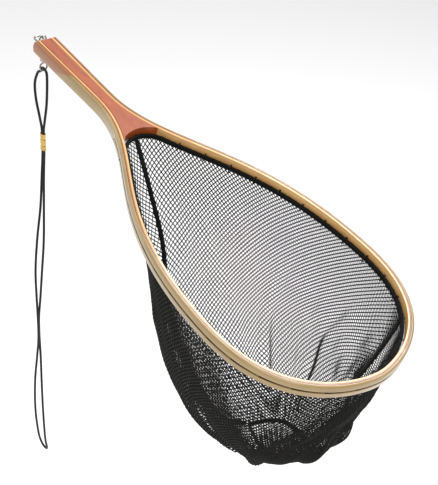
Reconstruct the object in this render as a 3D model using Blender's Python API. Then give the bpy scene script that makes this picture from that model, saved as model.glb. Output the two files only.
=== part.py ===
"""Wooden landing net: a laminated teardrop hoop and handle, a knotless mesh bag laced
into a routed groove, and a corded wrist lanyard that hangs from a swivel snap.

Metres, +Z up.  The origin is the middle of the grip, on the handle's top face.  +X runs
from the butt towards the tip.  The net lies nose down by PITCH, and the bag and the
lanyard hang straight down from it.  Wood sizes are in the net's own frame: u runs from
the butt to the tip, v across (the +Y side), n out of the top face.
"""

import math

import bmesh
import bpy
import numpy as np
from mathutils import Matrix, Vector

# ---- the wood -------------------------------------------------------------------------
PITCH = math.radians(12.6)      # how far the tip points down
WOOD_LENGTH = 0.570             # butt to tip
WOOD_DEPTH = 0.0161             # across the laminations' edges, top face to bottom face
BUTT_HALF = 0.0146              # half widths of the outline
BUTT_BULGE = 0.0020             # the butt is rounded: how far its middle stands out
BUTT_EASE = 0.0010              # and how far its top and bottom arrises stand back
WAIST_HALF = 0.0134
WIDE_HALF = 0.1133
WAIST_U = 0.120                 # stations of the waist and the widest place
WIDE_U = 0.4417
FLARE_OUT = 0.0968              # handles of the curve that flares from waist to widest
FLARE_IN = 0.1788
TIP_OUT = 0.1100                # handles of the curve round the tip
TIP_IN = 0.0250
THROAT_U = 0.182                # where the opening starts
OUTER_THICK = 0.0030            # the three laminations, outside to inside
ACCENT_THICK = 0.0010
INNER_THICK = 0.0027
GLUE = 0.0003                   # glue line between neighbours
OUTER_ROUND = 0.0022            # rounded outer arrises
HORN_TIP = 0.0009               # where the core's feathered horns stop
SAGITTA = 0.00014               # how far a facet may leave the true curve
LONGEST_FACET = 0.030
GRIP_U = 0.070                  # middle of the grip

# ---- groove, lacing and hem -----------------------------------------------------------
GROOVE_START_U = 0.176
GROOVE_WIDTH = 0.0024
GROOVE_DEPTH = 0.0016
FIRST_HOLE_U = 0.212
HOLE_PITCH = 0.031
HOLE_RADIUS = 0.0017
LACE_RADIUS = 0.00055
LACE_CLEAR = 0.0003
HEM_THICK = 0.0030
HEM_HEIGHT = 0.0056
HEM_MID_N = -0.0022             # the hem sits a little below the holes
HEM_CLEAR = 2 * (LACE_RADIUS + LACE_CLEAR)   # the lacing passes behind the hem

# ---- bag ------------------------------------------------------------------------------
MESH_THICK = 0.0009
TAPE_WIDTH = 0.0060
TAPE_THICK = 0.0020
BAG_GAP = 0.0004                # between bag pieces that are sewn together
BAG_TUCK = 2.3                  # how late the sides turn in towards the keel
SEAM_REACH = 2.0                # how fast a side leaves the line of its end seams
TIP_SEAM_V = 0.076              # where the tip seam meets the rim, across the hoop
BELLY_RIGHT = (-0.004, -0.010, -0.018)   # how far the right side's lower back sags out
BELLY_BACK = (-0.009, -0.009, 0.0)       # and its upper back stands out
KEEL_SAG = 0.006                # how far the bottom hangs below its seam
# Points of the bag's seams, from the middle of the butt.  The throat seam runs from the
# throat down and forward to the keel's back end, the tip seam from the rim to its front.
KEEL_BACK = (0.395, 0.0, -0.305)
KEEL_FRONT = (0.482, 0.0, -0.260)
THROAT_SEAM = [(0.203, 0.0, -0.089), (0.231, 0.0, -0.149), (0.243, 0.0, -0.205),
               (0.258, 0.0, -0.262), (0.300, 0.0, -0.303), (0.350, 0.0, -0.326)]
TIP_SEAM = [(0.509, 0.062, -0.141), (0.505, 0.044, -0.167), (0.500, 0.032, -0.190),
            (0.506, 0.020, -0.217), (0.499, 0.008, -0.238)]
KEEL_RIGHT = [(0.430, -0.014, -0.303), (0.463, -0.020, -0.283)]
KEEL_LEFT = [(0.408, 0.010, -0.296), (0.428, 0.016, -0.284), (0.450, 0.013, -0.276)]

# ---- screw eye, snap and swivel -------------------------------------------------------
EYE_U = -0.0125                 # centre of the ring
EYE_RADIUS = 0.0052             # to the middle of the wire
EYE_WIRE = 0.00115
EYE_SHANK_IN = 0.0150           # length of the shank inside the handle
EYE_HOLE_CLEAR = 0.0003
METAL_CLEAR = 0.0003
HOOK_WIRE = 0.0012
HOOK_RADIUS = 0.0044            # to the middle of the wire
HOOK_TIP_DROP = 0.0045          # from the hook's centre to its nose
BOSS_RADIUS = 0.0040
BOSS_TOP = -0.0200              # heights below the ring's wire
BOSS_BOTTOM = -0.0290
PIN_Y = -0.0022
PIN_Z = -0.0222
PIN_RADIUS = 0.0006
KNUCKLE_RADIUS = 0.0017
KNUCKLE_WIDTH = 0.0023
GATE_WIRE = 0.00105
STEM_RADIUS = 0.0011
STEM_HEAD_RADIUS = 0.0020
STEM_HEAD_THICK = 0.0012
BOSS_FLOOR = 0.0015             # thickness of the boss under the stem's head
SWIVEL_RADIUS = 0.0050
SWIVEL_WIRE = 0.0010
SWIVEL_NECK = 0.0022            # from the boss to the top of the swivel's ring

# ---- lanyard --------------------------------------------------------------------------
CORD_RADIUS = 0.00165
CORD_POINTS = 78
FERRULE_TOP = -0.127            # heights below the ring's wire
FERRULE_LENGTH = 0.023
FERRULE_WALL = 0.0007
STRAND_HALF = 0.00185           # half the spacing of the two strands in the ferrule

LAMINATED = OUTER_THICK + ACCENT_THICK + INNER_THICK + 2 * GLUE


# ---- small helpers --------------------------------------------------------------------
def clear_scene():
    for thing in list(bpy.data.objects):
        bpy.data.objects.remove(thing, do_unlink=True)


def material(name, colour, roughness, metallic=0.0):
    mat = bpy.data.materials.new(name)
    mat.use_nodes = True
    shader = mat.node_tree.nodes["Principled BSDF"]
    shader.inputs["Base Color"].default_value = (*colour, 1.0)
    shader.inputs["Roughness"].default_value = roughness
    shader.inputs["Metallic"].default_value = metallic
    return mat


def link(name, data, mat, parent=None):
    thing = bpy.data.objects.new(name, data)
    data.materials.append(mat)
    bpy.context.collection.objects.link(thing)
    thing.parent = parent
    return thing


def mesh_object(name, bm, mat, parent=None, smooth=35):
    """Close the bmesh's normals outwards and make it an object."""
    bmesh.ops.recalc_face_normals(bm, faces=bm.faces)
    mesh = bpy.data.meshes.new(name)
    bm.to_mesh(mesh)
    bm.free()
    mesh.shade_smooth()
    mesh.set_sharp_from_angle(angle=math.radians(smooth))
    return link(name, mesh, mat, parent)


def ring_sweep(bm, rings, closed=False):
    """Join rings of as many points each into a tube, with flat ends unless closed."""
    made = [[bm.verts.new(Vector(p)) for p in ring] for ring in rings]
    count = len(made[0])
    pairs = list(zip(made[:-1], made[1:]))
    if closed:
        pairs.append((made[-1], made[0]))
    for a, b in pairs:
        for i in range(count):
            j = (i + 1) % count
            bm.faces.new((a[i], a[j], b[j], b[i]))
    if not closed:
        bm.faces.new(made[0])
        bm.faces.new(made[-1][::-1])
    return made


def cut(target, cutters, operation="DIFFERENCE"):
    """Apply Booleans with each cutter to the target and drop the cutters."""
    for cutter in cutters:
        mod = target.modifiers.new("cut", "BOOLEAN")
        mod.operation = operation
        mod.solver = "EXACT"
        mod.object = cutter
    bpy.context.view_layer.update()
    graph = bpy.context.evaluated_depsgraph_get()
    mesh = bpy.data.meshes.new_from_object(target.evaluated_get(graph))
    for slot in list(target.modifiers):
        target.modifiers.remove(slot)
    target.data = mesh
    for cutter in cutters:
        bpy.data.objects.remove(cutter, do_unlink=True)


def guide(name, bm):
    """A cutter: never shown."""
    mesh = bpy.data.meshes.new(name)
    bmesh.ops.recalc_face_normals(bm, faces=bm.faces)
    bm.to_mesh(mesh)
    bm.free()
    thing = bpy.data.objects.new(name, mesh)
    thing.hide_render = True
    thing.display_type = "WIRE"
    bpy.context.collection.objects.link(thing)
    return thing


def cylinder(name, radius, start, end, sides=16, turn=0.0):
    """A cutter or blank round the line from start to end."""
    bm = bmesh.new()
    a, b = Vector(start), Vector(end)
    along = b - a
    place = Matrix.Translation((a + b) / 2) @ along.to_track_quat("Z", "Y").to_matrix().to_4x4()
    place = place @ Matrix.Rotation(turn, 4, "Z")
    bmesh.ops.create_cone(bm, cap_ends=True, segments=sides, radius1=radius, radius2=radius,
                          depth=along.length, matrix=place)
    return guide(name, bm)


def block(name, low, high):
    bm = bmesh.new()
    low, high = Vector(low), Vector(high)
    place = Matrix.Translation((low + high) / 2) @ Matrix.Diagonal((*(high - low), 1.0))
    bmesh.ops.create_cube(bm, size=1.0, matrix=place)
    return guide(name, bm)


def wire(name, points, radius, mat, parent=None, resolution=2, cyclic=False):
    """A round wire or cord along the points."""
    data = bpy.data.curves.new(name, "CURVE")
    data.dimensions = "3D"
    data.bevel_depth = radius
    data.bevel_resolution = resolution
    data.use_fill_caps = not cyclic
    data.twist_mode = "MINIMUM"
    line = data.splines.new("POLY")
    line.points.add(len(points) - 1)
    for spot, p in zip(line.points, points):
        spot.co = (*p, 1.0)
    line.use_cyclic_u = cyclic
    return link(name, data, mat, parent)


def as_mesh(thing):
    """Turn a curve object into a mesh object of the same name."""
    bpy.context.view_layer.update()
    graph = bpy.context.evaluated_depsgraph_get()
    mesh = bpy.data.meshes.new_from_object(thing.evaluated_get(graph))
    name, parent = thing.name, thing.parent
    bpy.data.objects.remove(thing, do_unlink=True)
    new = bpy.data.objects.new(name, mesh)
    bpy.context.collection.objects.link(new)
    new.parent = parent
    return new


def smooth_line(points, count, tightest=0.004, slackest=0.045):
    """Read count points from a closed Catmull-Rom curve through the points, closer together
    where it bends."""
    p = np.array(points, float)
    p = np.vstack([p[-1:], p, p[:2]])
    t = np.linspace(0, 1, 40, endpoint=False)[:, None]
    out = []
    for a, b, c, d in zip(p[:-3], p[1:-2], p[2:-1], p[3:]):
        out.append(0.5 * (2 * b + (c - a) * t + (2 * a - 5 * b + 4 * c - d) * t ** 2
                          + (3 * b - a - 3 * c + d) * t ** 3))
    fine = np.vstack(out + [p[-2:-1]])
    step = np.diff(fine, axis=0)
    size = np.linalg.norm(step, axis=1)
    way = step / size[:, None]
    turn = np.r_[0, np.arccos(np.clip((way[1:] * way[:-1]).sum(1), -1, 1))]
    window = np.ones(41)
    bend = np.convolve(turn, window, "same") / np.convolve(size, window, "same")
    radius = 1 / np.maximum(bend, 1e-6)
    need = np.r_[0, np.cumsum(size / np.clip(0.45 * radius, tightest, slackest))]
    at = np.linspace(0, need[-1], count, endpoint=False)
    return np.stack([np.interp(at, need, fine[:, k]) for k in range(3)], axis=1)


# ---- the outline of the wood ----------------------------------------------------------
def bezier(p, t):
    """Points and tangents of a cubic through four control points."""
    p = np.array(p, float)
    t = np.atleast_1d(t)[:, None]
    s = 1 - t
    point = p[0] * s ** 3 + 3 * p[1] * s * s * t + 3 * p[2] * s * t * t + p[3] * t ** 3
    slope = (p[1] - p[0]) * s * s + 2 * (p[2] - p[1]) * s * t + (p[3] - p[2]) * t * t
    return point, slope / np.linalg.norm(slope, axis=1)[:, None]


GRIP_CURVE = [(-BUTT_BULGE, -BUTT_HALF), (WAIST_U / 3, -BUTT_HALF), (WAIST_U * 2 / 3, -WAIST_HALF),
              (WAIST_U, -WAIST_HALF)]
FLARE_CURVE = [(WAIST_U, -WAIST_HALF), (WAIST_U + FLARE_OUT, -WAIST_HALF),
               (WIDE_U - FLARE_IN, -WIDE_HALF), (WIDE_U, -WIDE_HALF)]
TIP_CURVE = [(WIDE_U, -WIDE_HALF), (WIDE_U + TIP_OUT, -WIDE_HALF), (WOOD_LENGTH, -TIP_IN),
             (WOOD_LENGTH, 0)]


def inward(slope):
    """The unit normal that points from the outline into the net."""
    return np.stack([-slope[:, 1], slope[:, 0]], axis=1)


def inset(curve, t, depth):
    """Points of the curve moved inwards by depth."""
    point, slope = bezier(curve, t)
    return point + inward(slope) * depth


def touch_circle(t):
    """Circle centred on the axis that touches the inner face at t: its centre and radius."""
    point, slope = bezier(FLARE_CURVE, t)
    normal = inward(slope)[0]
    start = point[0] + normal * LAMINATED
    radius = -start[1] / normal[1]
    return start[0] + radius * normal[0], radius


def throat():
    """Where the throat's arc leaves the rails, and its centre and radius."""
    low, high = 0.0, 0.9
    for _ in range(50):
        mid = (low + high) / 2
        centre, radius = touch_circle(mid)
        if centre - radius < THROAT_U:
            low = mid
        else:
            high = mid
    return low, *touch_circle(low)


T_HORN, ARC_U, ARC_RADIUS = throat()


def spaced(curve, t0, t1):
    """Parameters along a curve, closer together where it bends, so facets stay true."""
    t = np.linspace(t0, t1, 400)
    point, slope = bezier(curve, t)
    step = np.linalg.norm(np.diff(point, axis=0), axis=1)
    turn = np.abs(np.diff(np.unwrap(np.arctan2(slope[:, 1], slope[:, 0]))))
    bend = turn / step
    longest = np.minimum(LONGEST_FACET, np.sqrt(8 * SAGITTA / np.maximum(bend, 1e-6)))
    need = np.r_[0, np.cumsum(step / longest)]
    count = max(1, math.ceil(need[-1]))
    return np.interp(np.linspace(0, need[-1], count + 1), need, t)


def stations():
    """Points, inward normals and a flag for the hoop, from the butt's right edge round the
    tip and back to its left edge."""
    start_groove = station_at(GROOVE_START_U)
    runs = [(GRIP_CURVE, spaced(GRIP_CURVE, 0, 1)[:-1]),
            (FLARE_CURVE, spaced(FLARE_CURVE, 0, start_groove)[:-1]),
            (FLARE_CURVE, spaced(FLARE_CURVE, start_groove, T_HORN)[:-1]),
            (FLARE_CURVE, spaced(FLARE_CURVE, T_HORN, 1)[:-1]),
            (TIP_CURVE, spaced(TIP_CURVE, 0, 1))]
    point = np.vstack([bezier(c, t)[0] for c, t in runs])
    normal = np.vstack([inward(bezier(c, t)[1]) for c, t in runs])
    grooved = np.repeat([False, False, True, True, True], [len(t) for _, t in runs])
    hoop = np.repeat([False, False, False, True, True], [len(t) for _, t in runs])
    flip = np.array([1, -1])
    return (np.vstack([point, point[-2::-1] * flip]), np.vstack([normal, normal[-2::-1] * flip]),
            np.r_[grooved, grooved[-2::-1]], np.r_[hoop, hoop[-2::-1]])


def station_at(u):
    """The flare's parameter at a station along the net."""
    t = np.linspace(0, 1, 4001)
    return float(np.interp(u, bezier(FLARE_CURVE, t)[0][:, 0], t))


POINT, NORMAL, GROOVED, HOOP = stations()


# ---- the net's own frame --------------------------------------------------------------
TURN = Matrix.Rotation(PITCH, 3, "Y")
GRIP = Vector((GRIP_U, 0, WOOD_DEPTH / 2))


def to_world(u, v, n):
    return TURN @ (Vector((u, v, n)) - GRIP)


def net_frame():
    frame = bpy.data.objects.new("net_frame", None)
    bpy.context.collection.objects.link(frame)
    frame.location = to_world(0, 0, 0)
    frame.rotation_euler = (0, PITCH, 0)
    return frame


BUTT = to_world(0, 0, 0)


# ---- wood -----------------------------------------------------------------------------
def butt_cutter(frame):
    """What is cut away to round the butt from its top face to its bottom face."""
    half, deep = WOOD_DEPTH / 2, BUTT_BULGE + BUTT_EASE
    radius = (half ** 2 + deep ** 2) / (2 * deep)
    reach = math.asin(half / radius) * 1.25
    middle = radius - BUTT_BULGE
    turns = np.linspace(-reach, reach, 13)
    arc = [(middle - radius * math.cos(a), radius * math.sin(a)) for a in turns]
    behind = -2 * BUTT_HALF
    profile = [(behind, arc[0][1])] + arc + [(behind, arc[-1][1])]
    bm = bmesh.new()
    wide = 2 * BUTT_HALF
    ring_sweep(bm, [[(u, v, n) for u, n in profile] for v in (-wide, wide)])
    cutter = guide("butt_rounding", bm)
    cutter.parent = frame
    return cutter


def strip(name, near, far, mat, frame, chamfer):
    """A lamination between two depths from the outline, with small chamfers."""
    half = WOOD_DEPTH / 2
    profile = [(near, half - chamfer), (near + chamfer, half), (far - chamfer, half),
               (far, half - chamfer), (far, -half + chamfer), (far - chamfer, -half),
               (near + chamfer, -half), (near, -half + chamfer)]
    if not chamfer:
        profile = [(near, half), (far, half), (far, -half), (near, -half)]
    bm = bmesh.new()
    rings = []
    for p, m in zip(POINT, NORMAL):
        rings.append([(*(p + m * d), n) for d, n in profile])
    ring_sweep(bm, rings)
    return mesh_object(name, bm, mat, frame)


def outer_strip(mat, frame):
    """The outer lamination: rounded outer arrises, and the lacing groove round the hoop."""
    half, r = WOOD_DEPTH / 2, OUTER_ROUND
    bends = [math.radians(a) for a in (0, 30, 60, 90)]
    top = [(r - r * math.cos(a), half - r + r * math.sin(a)) for a in bends]
    g = GROOVE_WIDTH / 2
    profile = top + [(OUTER_THICK, half), (OUTER_THICK, -half)]
    profile += [(d, -n) for d, n in top[::-1]]
    lips = len(profile)
    profile += [(0, -g), (GROOVE_DEPTH, -g), (GROOVE_DEPTH, g), (0, g)]
    bm = bmesh.new()
    made = []
    for p, m in zip(POINT, NORMAL):
        made.append([bm.verts.new((*(p + m * d), n)) for d, n in profile])
    plain = list(range(lips)) + [lips, lips + 3]
    whole = list(range(len(profile)))
    for i, (a, b) in enumerate(zip(made[:-1], made[1:])):
        loop = whole if GROOVED[i] and GROOVED[i + 1] else plain
        for k, j in zip(loop, loop[1:] + loop[:1]):
            bm.faces.new((a[k], a[j], b[j], b[k]))
    ends = [i for i in range(1, len(made)) if GROOVED[i] != GROOVED[i - 1]]
    first, last = ends[0], ends[1] - 1
    for i in (first, last):
        bm.faces.new([made[i][lips + k] for k in range(4)])
    bm.faces.new([made[0][k] for k in plain])
    bm.faces.new([made[-1][k] for k in plain][::-1])
    bmesh.ops.delete(bm, geom=[v for v in bm.verts if not v.link_faces], context="VERTS")
    return mesh_object("outer_strip", bm, mat, frame)


def horn_end():
    """Where the core's horn stops: the arc's angle and the flare's parameter beside it."""
    t = np.linspace(0, T_HORN, 1200)
    face = inset(FLARE_CURVE, t, LAMINATED)
    for angle in np.linspace(math.pi, math.pi / 3, 600):
        spot = np.array([ARC_U + ARC_RADIUS * math.cos(angle), -ARC_RADIUS * math.sin(angle)])
        away = np.linalg.norm(face - spot, axis=1)
        if away.min() < HORN_TIP + GLUE:
            break
    return angle, t[away.argmin()]


def handle_core(mat, frame):
    """The red core: fills between the inner laminations and ends in the throat's arc."""
    angle, t_end = horn_end()
    depth = LAMINATED + GLUE
    start = station_at(GROOVE_START_U)
    runs = [(GRIP_CURVE, spaced(GRIP_CURVE, 0, 1)[:-1]),
            (FLARE_CURVE, spaced(FLARE_CURVE, 0, start)[:-1]),
            (FLARE_CURVE, spaced(FLARE_CURVE, start, t_end))]
    side = np.vstack([inset(c, t, depth) for c, t in runs])
    sweep = np.linspace(angle, math.pi, 9)
    arc = np.stack([ARC_U + ARC_RADIUS * np.cos(sweep), -ARC_RADIUS * np.sin(sweep)], axis=1)
    half_loop = np.vstack([side, arc])
    loop = np.vstack([half_loop, half_loop[-2::-1] * [1, -1]])
    bm = bmesh.new()
    half = WOOD_DEPTH / 2
    low = [bm.verts.new((*p, -half)) for p in loop]
    face = bm.faces.new(low)
    grown = bmesh.ops.extrude_face_region(bm, geom=[face])
    top = [v for v in grown["geom"] if isinstance(v, bmesh.types.BMVert)]
    bmesh.ops.translate(bm, verts=top, vec=(0, 0, WOOD_DEPTH))
    core = mesh_object("handle_core", bm, mat, frame)
    hole = cylinder("shank_hole", EYE_WIRE + EYE_HOLE_CLEAR, (-2 * BUTT_BULGE, 0, 0),
                    (EYE_SHANK_IN + 0.001, 0, 0), sides=12)
    hole.parent = frame
    cut(core, [hole, butt_cutter(frame)])
    return core


def hole_stations():
    """Where the lacing holes are: points and inward normals, from right to left."""
    t = np.linspace(0, 1, 1500)
    point = np.vstack([bezier(FLARE_CURVE, t)[0][:-1], bezier(TIP_CURVE, t)[0]])
    normal = np.vstack([inward(bezier(FLARE_CURVE, t)[1])[:-1], inward(bezier(TIP_CURVE, t)[1])])
    flip = np.array([1, -1])
    point = np.vstack([point, point[-2::-1] * flip])
    normal = np.vstack([normal, normal[-2::-1] * flip])
    along = np.r_[0, np.cumsum(np.linalg.norm(np.diff(point, axis=0), axis=1))]
    middle = along[-1] / 2
    first = along[np.argmax(point[:, 0] > FIRST_HOLE_U)]
    gaps = max(1, round(2 * (middle - first) / HOLE_PITCH))
    at = np.linspace(first, 2 * middle - first, gaps + 1)
    return point, normal, along, at


def at_station(s, depth, n, rail=None):
    """A point at a distance along the outline, a depth in from it, and a height."""
    point, normal, along, _ = rail
    p = np.array([np.interp(s, along, point[:, k]) for k in range(2)])
    m = np.array([np.interp(s, along, normal[:, k]) for k in range(2)])
    return (*(p + m / np.linalg.norm(m) * depth), n)


def hole_cutters(rail, frame):
    """Six-sided pins through all three laminations, as one cutter."""
    bm = bmesh.new()
    for s in rail[3]:
        a = Vector(at_station(s, -0.002, 0, rail))
        b = Vector(at_station(s, LAMINATED + 0.002, 0, rail))
        place = Matrix.Translation((a + b) / 2) @ (b - a).to_track_quat("Z", "Y").to_matrix().to_4x4()
        bmesh.ops.create_cone(bm, cap_ends=True, segments=6, radius1=HOLE_RADIUS,
                              radius2=HOLE_RADIUS, depth=(b - a).length, matrix=place)
    cutter = guide("lacing_holes", bm)
    cutter.parent = frame
    return cutter


# ---- hem and lacing -------------------------------------------------------------------
def inner_loop(depth, arc_points=7):
    """Closed loop at a depth inside the opening: throat's arc, right rail, tip, left rail."""
    point, normal = POINT[HOOP], NORMAL[HOOP]
    rail = point + normal * (LAMINATED + depth)
    start = math.atan2(-rail[0][1], rail[0][0] - ARC_U)
    sweep = np.linspace(math.pi, start, arc_points)[:-1]
    radius = ARC_RADIUS - depth
    right = np.stack([ARC_U + radius * np.cos(sweep), -radius * np.sin(sweep)], axis=1)
    left = right[:0:-1] * [1, -1]
    return np.vstack([right, rail, left])


def loop_normals(loop):
    """Unit normals of a closed loop, pointing inwards."""
    slope = np.roll(loop, -1, axis=0) - np.roll(loop, 1, axis=0)
    slope /= np.linalg.norm(slope, axis=1)[:, None]
    return np.stack([-slope[:, 1], slope[:, 0]], axis=1)


def rim_binding(mat, frame):
    """The rolled hem of the bag, all round the opening."""
    mid = HEM_CLEAR + HEM_THICK / 2
    loop = inner_loop(mid)
    normal = loop_normals(loop)
    bm = bmesh.new()
    a, b = HEM_THICK / 2, HEM_HEIGHT / 2
    sides = [(math.cos(k), math.sin(k)) for k in np.arange(8) * math.pi / 4 + math.pi / 8]
    rings = [[(*(p + m * a * x), HEM_MID_N + b * y) for x, y in sides]
             for p, m in zip(loop, normal)]
    ring_sweep(bm, rings, closed=True)
    return mesh_object("rim_binding", bm, mat, frame, smooth=80)


def lacing_route(rail):
    """The cord's points: along the groove, in through each hole, round the hem and out."""
    step = LACE_RADIUS + LACE_CLEAR
    lie = GROOVE_DEPTH - step
    rise = HOLE_RADIUS * math.cos(math.pi / 6) - LACE_RADIUS - 0.00015
    top = HEM_MID_N + HEM_HEIGHT / 2 + step
    low = HEM_MID_N - HEM_HEIGHT / 2 - step
    behind = LAMINATED + LACE_CLEAR + LACE_RADIUS
    beyond = LAMINATED + HEM_CLEAR + HEM_THICK + step
    inside = GROOVE_DEPTH + 0.0004
    points = []
    holes = rail[3]
    for k, s in enumerate(holes):
        last = k == len(holes) - 1
        loop = [(inside, rise), (behind - 0.0006, rise), (behind + 0.0008, top),
                (beyond - 0.0004, top), (beyond, 0.5 * (top + low)), (beyond - 0.0004, low),
                (behind + 0.0003, low), (behind, low + 0.0006), (behind, -rise - 0.0002),
                (inside, -rise)]
        points.append(at_station(s - 0.0016, lie, rise * 0.6, rail))
        points += [at_station(s, depth, n, rail) for depth, n in loop]
        points.append(at_station(s + 0.0016, lie, -rise * 0.6, rail))
        if not last:
            reach = holes[k + 1] - s
            points.append(at_station(s + reach / 3, lie, -rise * 0.2, rail))
            points.append(at_station(s + 2 * reach / 3, lie, rise * 0.2, rail))
    return points


def lashing(mats, rail, frame):
    """The lacing cord, whole along its route, and the knot that ends it."""
    route = lacing_route(rail)
    wire("lashing_cord", route, LACE_RADIUS, mats["cord"], frame, resolution=1)
    small = GROOVE_WIDTH / 2 - LACE_CLEAR / 2
    back = rail[3][0] - 0.0016 - 2 * LACE_CLEAR - small
    middle = Vector(at_station(back, GROOVE_DEPTH - LACE_CLEAR - small, 0, rail))
    bm = bmesh.new()
    bmesh.ops.create_uvsphere(bm, u_segments=10, v_segments=6, radius=small,
                              matrix=Matrix.Translation(middle))
    mesh_object("lashing_knot", bm, mats["cord"], frame, smooth=80)


# ---- bag ------------------------------------------------------------------------------
def lengths_along(points):
    """Distance along a line of points, from 0 to 1."""
    step = np.linalg.norm(np.diff(points, axis=0), axis=1)
    far = np.r_[0, np.cumsum(step)]
    return far / far[-1]


def line_through(points, steps=24):
    """A function of 0 to 1 that follows a Catmull-Rom curve through the points."""
    p = np.array(points, float)
    p = np.vstack([2 * p[0] - p[1], p, 2 * p[-1] - p[-2]])
    t = np.linspace(0, 1, steps, endpoint=False)[:, None]
    spans = [0.5 * (2 * b + (c - a) * t + (2 * a - 5 * b + 4 * c - d) * t ** 2
                    + (3 * b - a - 3 * c + d) * t ** 3)
             for a, b, c, d in zip(p[:-3], p[1:-2], p[2:-1], p[3:])]
    fine = np.vstack(spans + [p[-2:-1]])
    along = lengths_along(fine)
    return lambda f: np.stack([np.interp(f, along, fine[:, k]) for k in range(3)], axis=-1)


def bag_rim():
    """The top edge of the bag in world axes: throat, right rail, tip, left rail, throat."""
    n = HEM_MID_N - HEM_HEIGHT / 2 - 2 * (LACE_RADIUS + LACE_CLEAR) - MESH_THICK / 2
    loop = inner_loop(HEM_CLEAR + HEM_THICK / 2)
    return np.array([to_world(u, v, n) for u, v in np.vstack([loop, loop[:1]])])


def from_butt(points):
    return [np.array(BUTT) + np.array(p) for p in points]


RIM = bag_rim()
RIM_ALONG = lengths_along(RIM)


def rim_at(f):
    return np.stack([np.interp(f, RIM_ALONG, RIM[:, k]) for k in range(3)], axis=-1)


def seam_on_rim():
    """The share of the rim at which its left rail first stands TIP_SEAM_V across."""
    fine = np.linspace(0.5, 1, 2001)
    return float(fine[np.argmax(rim_at(fine)[:, 1] > TIP_SEAM_V)])


SEAM_ALONG = seam_on_rim()
ENDS = from_butt([KEEL_BACK, KEEL_FRONT])
THROAT_LINE = line_through([rim_at(0.0)] + from_butt(THROAT_SEAM) + [ENDS[0]])
TIP_LINE = line_through([rim_at(SEAM_ALONG)] + from_butt(TIP_SEAM) + [ENDS[1]])
KEEL_LINES = {"right": line_through([ENDS[0]] + from_butt(KEEL_RIGHT) + [ENDS[1]]),
              "left": line_through([ENDS[0]] + from_butt(KEEL_LEFT) + [ENDS[1]])}


def hung(side, f, t):
    """Straight down from the rim at t = 0, then in to the keel at t = 1."""
    share = f * SEAM_ALONG if side == "right" else 1 - f * (1 - SEAM_ALONG)
    top, low = rim_at(share), KEEL_LINES[side](f)
    return top + (low - top) * np.stack([t ** BAG_TUCK, t ** BAG_TUCK, t], axis=-1)


def swell(f, t, f_mid, t_mid, f_wide, t_wide):
    """A smooth hump round one spot of a side, flat at the side's edges."""
    hump = np.exp(-((f - f_mid) / f_wide) ** 2 - ((t - t_mid) / t_wide) ** 2)
    return hump * np.sin(math.pi * f) ** 0.5 * np.sin(math.pi * t) ** 0.5


def bag_wall(side, f, t):
    """Points of a side: hung from the rim, drawn to the seams at both its ends, with the
    right side's back bellied out."""
    f, t = np.broadcast_arrays(np.asarray(f, float), np.asarray(t, float))
    at_throat = THROAT_LINE(t) - hung(side, 0 * f, t)
    at_tip = TIP_LINE(t) - hung(side, 0 * f + 1, t)
    place = hung(side, f, t)
    place = place + at_throat * ((1 - f) ** SEAM_REACH)[..., None]
    place = place + at_tip * (f ** SEAM_REACH)[..., None]
    if side == "right":
        place = place + swell(f, t, 0.20, 0.82, 0.16, 0.20)[..., None] * np.array(BELLY_RIGHT)
        place = place + swell(f, t, 0.12, 0.42, 0.12, 0.25)[..., None] * np.array(BELLY_BACK)
    return place


def clear_share(row, seam, aim):
    """The share of a row of points at which it first stands a distance aim off a seam."""
    away = np.linalg.norm(row[:, None, :] - seam[None, :, :], axis=2).min(axis=1)
    return float(np.argmax(away > aim)) / (len(row) - 1)


def side_grid(side, first, last, columns=9, rows=20):
    """Grid of points of a side between two shares of its width, clear of the tapes."""
    edge = TAPE_WIDTH / 2 + BAG_GAP + MESH_THICK
    fine = np.linspace(0, 1, 400)
    throat, tip, low = THROAT_LINE(fine), TIP_LINE(fine), KEEL_LINES[side](fine)
    bottom = 1 - max(clear_share(bag_wall(side, f, 1 - fine), low, edge)
                     for f in (0.15, 0.3, 0.5, 0.7, 0.85))
    grid = []
    for t in np.linspace(0, bottom, rows + 1):
        start = clear_share(bag_wall(side, fine, t), throat, edge) if first == 0 else first
        stop = 1 - clear_share(bag_wall(side, 1 - fine, t), tip, edge) if last == 1 else last
        grid.append(bag_wall(side, np.linspace(start, stop, columns + 1), t))
    return grid


def sheet(name, grid, mat, thick):
    """A grid of points given a thickness on both sides: one closed body."""
    bm = bmesh.new()
    made = [[bm.verts.new(Vector(p)) for p in row] for row in grid]
    for a, b in zip(made[:-1], made[1:]):
        for i in range(len(a) - 1):
            bm.faces.new((a[i], a[i + 1], b[i + 1], b[i]))
    mesh = bpy.data.meshes.new(name)
    bmesh.ops.recalc_face_normals(bm, faces=bm.faces)
    bm.to_mesh(mesh)
    bm.free()
    mesh.shade_smooth()
    thing = link(name, mesh, mat)
    mod = thing.modifiers.new("thickness", "SOLIDIFY")
    mod.thickness = thick
    mod.offset = 0
    return thing


def bag_sides(mat):
    """Each side is two panels, back and front, that meet at its middle."""
    for side in ("right", "left"):
        half_gap = BAG_GAP / 0.5
        sheet(f"bag_{side}_back", side_grid(side, 0, 0.5 - half_gap), mat, MESH_THICK)
        sheet(f"bag_{side}_front", side_grid(side, 0.5 + half_gap, 1), mat, MESH_THICK)


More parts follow.
